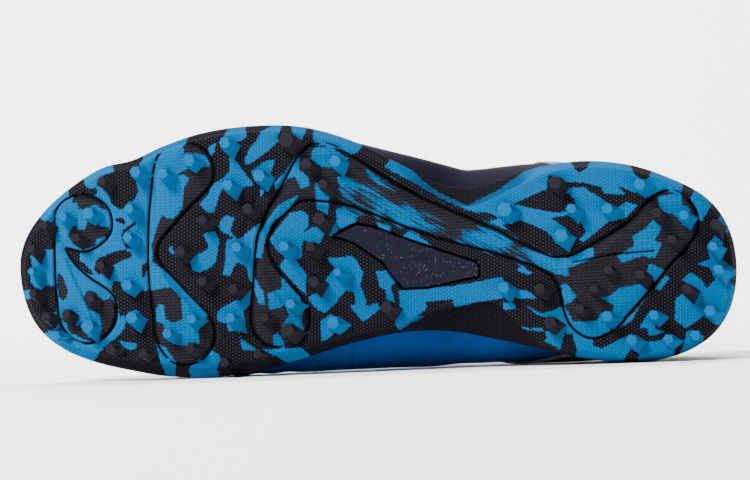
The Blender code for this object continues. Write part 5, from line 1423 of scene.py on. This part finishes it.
toe_pair = EYELET_PAIRS - 1
runs = [("lateral", toe_pair, "medial", toe_pair, 0.0)]
for k in range(toe_pair):
    runs += [("lateral", k, "medial", k + 1, LACE_OVER if k % 2 else LACE_UNDER),
             ("medial", k, "lateral", k + 1, LACE_UNDER if k % 2 else LACE_OVER)]
points, faces, across_lace = [], [], []
for side, k, other, n, over in runs:
    (start, start_out), (end, end_out) = eyelets[(side, k)], eyelets[(other, n)]
    ahead = (end - start) / np.linalg.norm(end - start)
    up = np.cross(np.cross(ahead, (0.3, 0.0, 0.95)), ahead)
    up /= np.linalg.norm(up)
    guide = [start - start_out * 0.0012 - ahead * 0.0004, start + start_out * (OVERLAY + 0.0009),
             start + start_out * (OVERLAY + 0.0016) + ahead * 0.0028]
    for t in (0.3, 0.5, 0.7):
        middle = start + (end - start) * t
        lift = TONGUE_CROWN * math.sin(math.pi * t) ** 0.8 + 0.0022
        middle = middle + up * (lift + (0.0006 * over if t == 0.5 else 0.0))
        guide.append(middle)
    guide += [end + end_out * (OVERLAY + 0.0016) - ahead * 0.0028, end + end_out * (OVERLAY + 0.0009),
              end - end_out * 0.0012 + ahead * 0.0004]
    guide = np.array(guide)
    for _ in range(3):
        cut = np.stack([0.75 * guide[:-1] + 0.25 * guide[1:], 0.25 * guide[:-1] + 0.75 * guide[1:]], 1)
        guide = np.concatenate([guide[:1], cut.reshape(-1, 3)[1:-1], guide[-1:]])
    tangents = np.gradient(guide, axis=0)
    tangents /= np.linalg.norm(tangents, axis=1)[:, None]
    width_way = np.cross(ahead, up)
    first = len(points)
    share_along = np.linspace(0.0, 1.0, len(guide))
    narrow = 0.62 + 0.38 * smooth(0.04, 0.16, np.minimum(share_along, 1.0 - share_along))
    for place, tangent, tight in zip(guide, tangents, narrow):
        face_way = np.cross(width_way, tangent)
        face_way /= np.linalg.norm(face_way)
        if face_way @ up < 0.0:
            face_way = -face_way
        for a in range(LACE_SIDES):
            angle = 2.0 * math.pi * a / LACE_SIDES
            c, s = math.cos(angle), math.sin(angle)
            points.append(place + width_way * LACE_WIDTH / 2 * tight * math.copysign(abs(c) ** 0.55, c)
                          + face_way * LACE_DEPTH / 2 * math.copysign(abs(s) ** 0.8, s))
            across_lace.append(c)
    faces += [tuple(first + i for i in face) for face in lattice(len(guide), LACE_SIDES, closed=True)]
    faces += [tuple(first + a for a in reversed(range(LACE_SIDES))),
              tuple(first + (len(guide) - 1) * LACE_SIDES + a for a in range(LACE_SIDES))]
lace = piece("flat_lace", np.array(points), faces, across=np.array(across_lace))
lace.data.shade_smooth()

# Flat braid: matt polyester, its strands crossing in fine chevrons.
BRAID_PITCH = 0.0013
braid, tree, shader = finish("flat_braided_polyester")
place = node(tree, "Attribute", attribute_name="last").outputs["Vector"]
across_way = node(tree, "Attribute", attribute_name="across").outputs["Fac"]
parts = node(tree, "SeparateXYZ", {0: place})
slant = node(tree, "Math", {0: across_way}, operation="ABSOLUTE").outputs[0]
slant = node(tree, "Math", {0: slant, 1: 0.0016}, operation="MULTIPLY").outputs[0]
wave = node(tree, "Math", {0: parts.outputs["Y"], 1: slant}).outputs[0]
wave = node(tree, "Math", {0: wave, 1: 2.0 * math.pi / BRAID_PITCH}, operation="MULTIPLY").outputs[0]
wave = node(tree, "Math", {0: wave}, operation="SINE").outputs[0]
strand = node(tree, "MapRange", {0: wave, 1: -0.8, 2: 0.6}).outputs[0]
tone = node(tree, "Mix", {"Factor": strand, 6: colour("#040407"),
                          7: colour("#131219")}, data_type="RGBA").outputs[2]
tree.links.new(tone, shader.inputs["Base Color"])
shader.inputs["Roughness"].default_value = 0.78
shader.inputs["Sheen Weight"].default_value = 0.03
strands = node(tree, "Bump", {"Height": strand, "Strength": 0.7, "Distance": 0.0002})
tree.links.new(strands.outputs["Normal"], shader.inputs["Normal"])
lace.data.materials.append(braid)
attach(lace, "root")
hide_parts("laces")


# Floor and backdrop. One pale sheet that curves up behind the shoe, as in a product photographer's
# sweep, so that no horizon line crosses the view.
SWEEP_WIDTH = 9.0
SWEEP_BACK = 4.2
SWEEP_BEND = 1.8
SWEEP_TOP = 4.0
PAPER = "#fbfbfb"

profile = [(-4.0, 0.0), (SWEEP_BACK - SWEEP_BEND, 0.0)]
for k in range(1, 24):
    angle = math.pi / 2 * k / 24
    profile.append((SWEEP_BACK - SWEEP_BEND + SWEEP_BEND * math.sin(angle),
                    SWEEP_BEND * (1 - math.cos(angle))))
profile += [(SWEEP_BACK, SWEEP_BEND), (SWEEP_BACK, SWEEP_TOP)]
verts = [(x, y, z) for y, z in profile for x in (-SWEEP_WIDTH / 2, SWEEP_WIDTH / 2)]
sheet_data = bpy.data.meshes.new("paper_sweep")
strips = [(2 * k, 2 * k + 1, 2 * k + 3, 2 * k + 2) for k in range(len(profile) - 1)]
sheet_data.from_pydata(verts, [], strips)
sheet_data.shade_smooth()
paper_sweep = bpy.data.objects.new("paper_sweep", sheet_data)
bpy.context.scene.collection.objects.link(paper_sweep)
paper, tree, shader = finish("pale_matt_paper")
fibre = node(tree, "TexNoise", {"Scale": 60.0, "Detail": 4.0}).outputs["Fac"]
tooth = node(tree, "MapRange", {0: fibre, 1: 0.3, 2: 0.7, 3: 0.86, 4: 0.94}).outputs[0]
tree.links.new(tooth, shader.inputs["Roughness"])
shader.inputs["Base Color"].default_value = colour(PAPER)
paper_sweep.data.materials.append(paper)

# Studio light. One soft box high on the toe side lights the shoe, a second one above lights the
# backdrop behind it, and a dim white room lifts the shadows.
ROOM_LIGHT = 0.06
TOE_BOX = {"place": (-1.6, -1.6, 2.1), "size": 1.0, "power": 310.0}
BACKDROP_BOX = {"place": (0.0, 1.6, 3.2), "size": 2.4, "power": 470.0}
BACKDROP_SPOT = (0.0, 4.2, 0.4)
SHOE_MIDDLE = (0.146, 0.0, 0.02)

world = bpy.data.worlds.new("white_room")
world.use_nodes = True
world.node_tree.nodes["Background"].inputs["Color"].default_value = colour("#ffffff")
world.node_tree.nodes["Background"].inputs["Strength"].default_value = ROOM_LIGHT
bpy.context.scene.world = world
for name, box, target in (("toe_side_box", TOE_BOX, Vector(laid([SHOE_MIDDLE])[0])),
                          ("backdrop_box", BACKDROP_BOX, Vector(BACKDROP_SPOT))):
    lamp = bpy.data.lights.new(name, "AREA")
    lamp.shape = "SQUARE"
    lamp.size = box["size"]
    lamp.energy = box["power"]
    thing = bpy.data.objects.new(name, lamp)
    thing.location = box["place"]
    thing.rotation_euler = (target - Vector(box["place"])).to_track_quat("-Z", "Y").to_euler()
    bpy.context.scene.collection.objects.link(thing)

# Camera. It looks straight at the tread, with the long axis of the shoe level in the picture.
CAMERA_DISTANCE = 0.95
FIELD_WIDTH = 0.2985
VIEW_MIDDLE = (0.1458, 0.0088, 0.0045)
camera_data = bpy.data.cameras.new("camera")
camera_data.sensor_width = 36.0
camera_data.lens = 36.0 * CAMERA_DISTANCE / FIELD_WIDTH
camera = bpy.data.objects.new("camera", camera_data)
bpy.context.scene.collection.objects.link(camera)
aim = Matrix((-shoe_along, shoe_across, -shoe_up)).transposed().to_4x4()
aim.translation = Vector(laid([VIEW_MIDDLE])[0]) - shoe_up * CAMERA_DISTANCE
camera.matrix_world = aim
bpy.context.scene.camera = camera
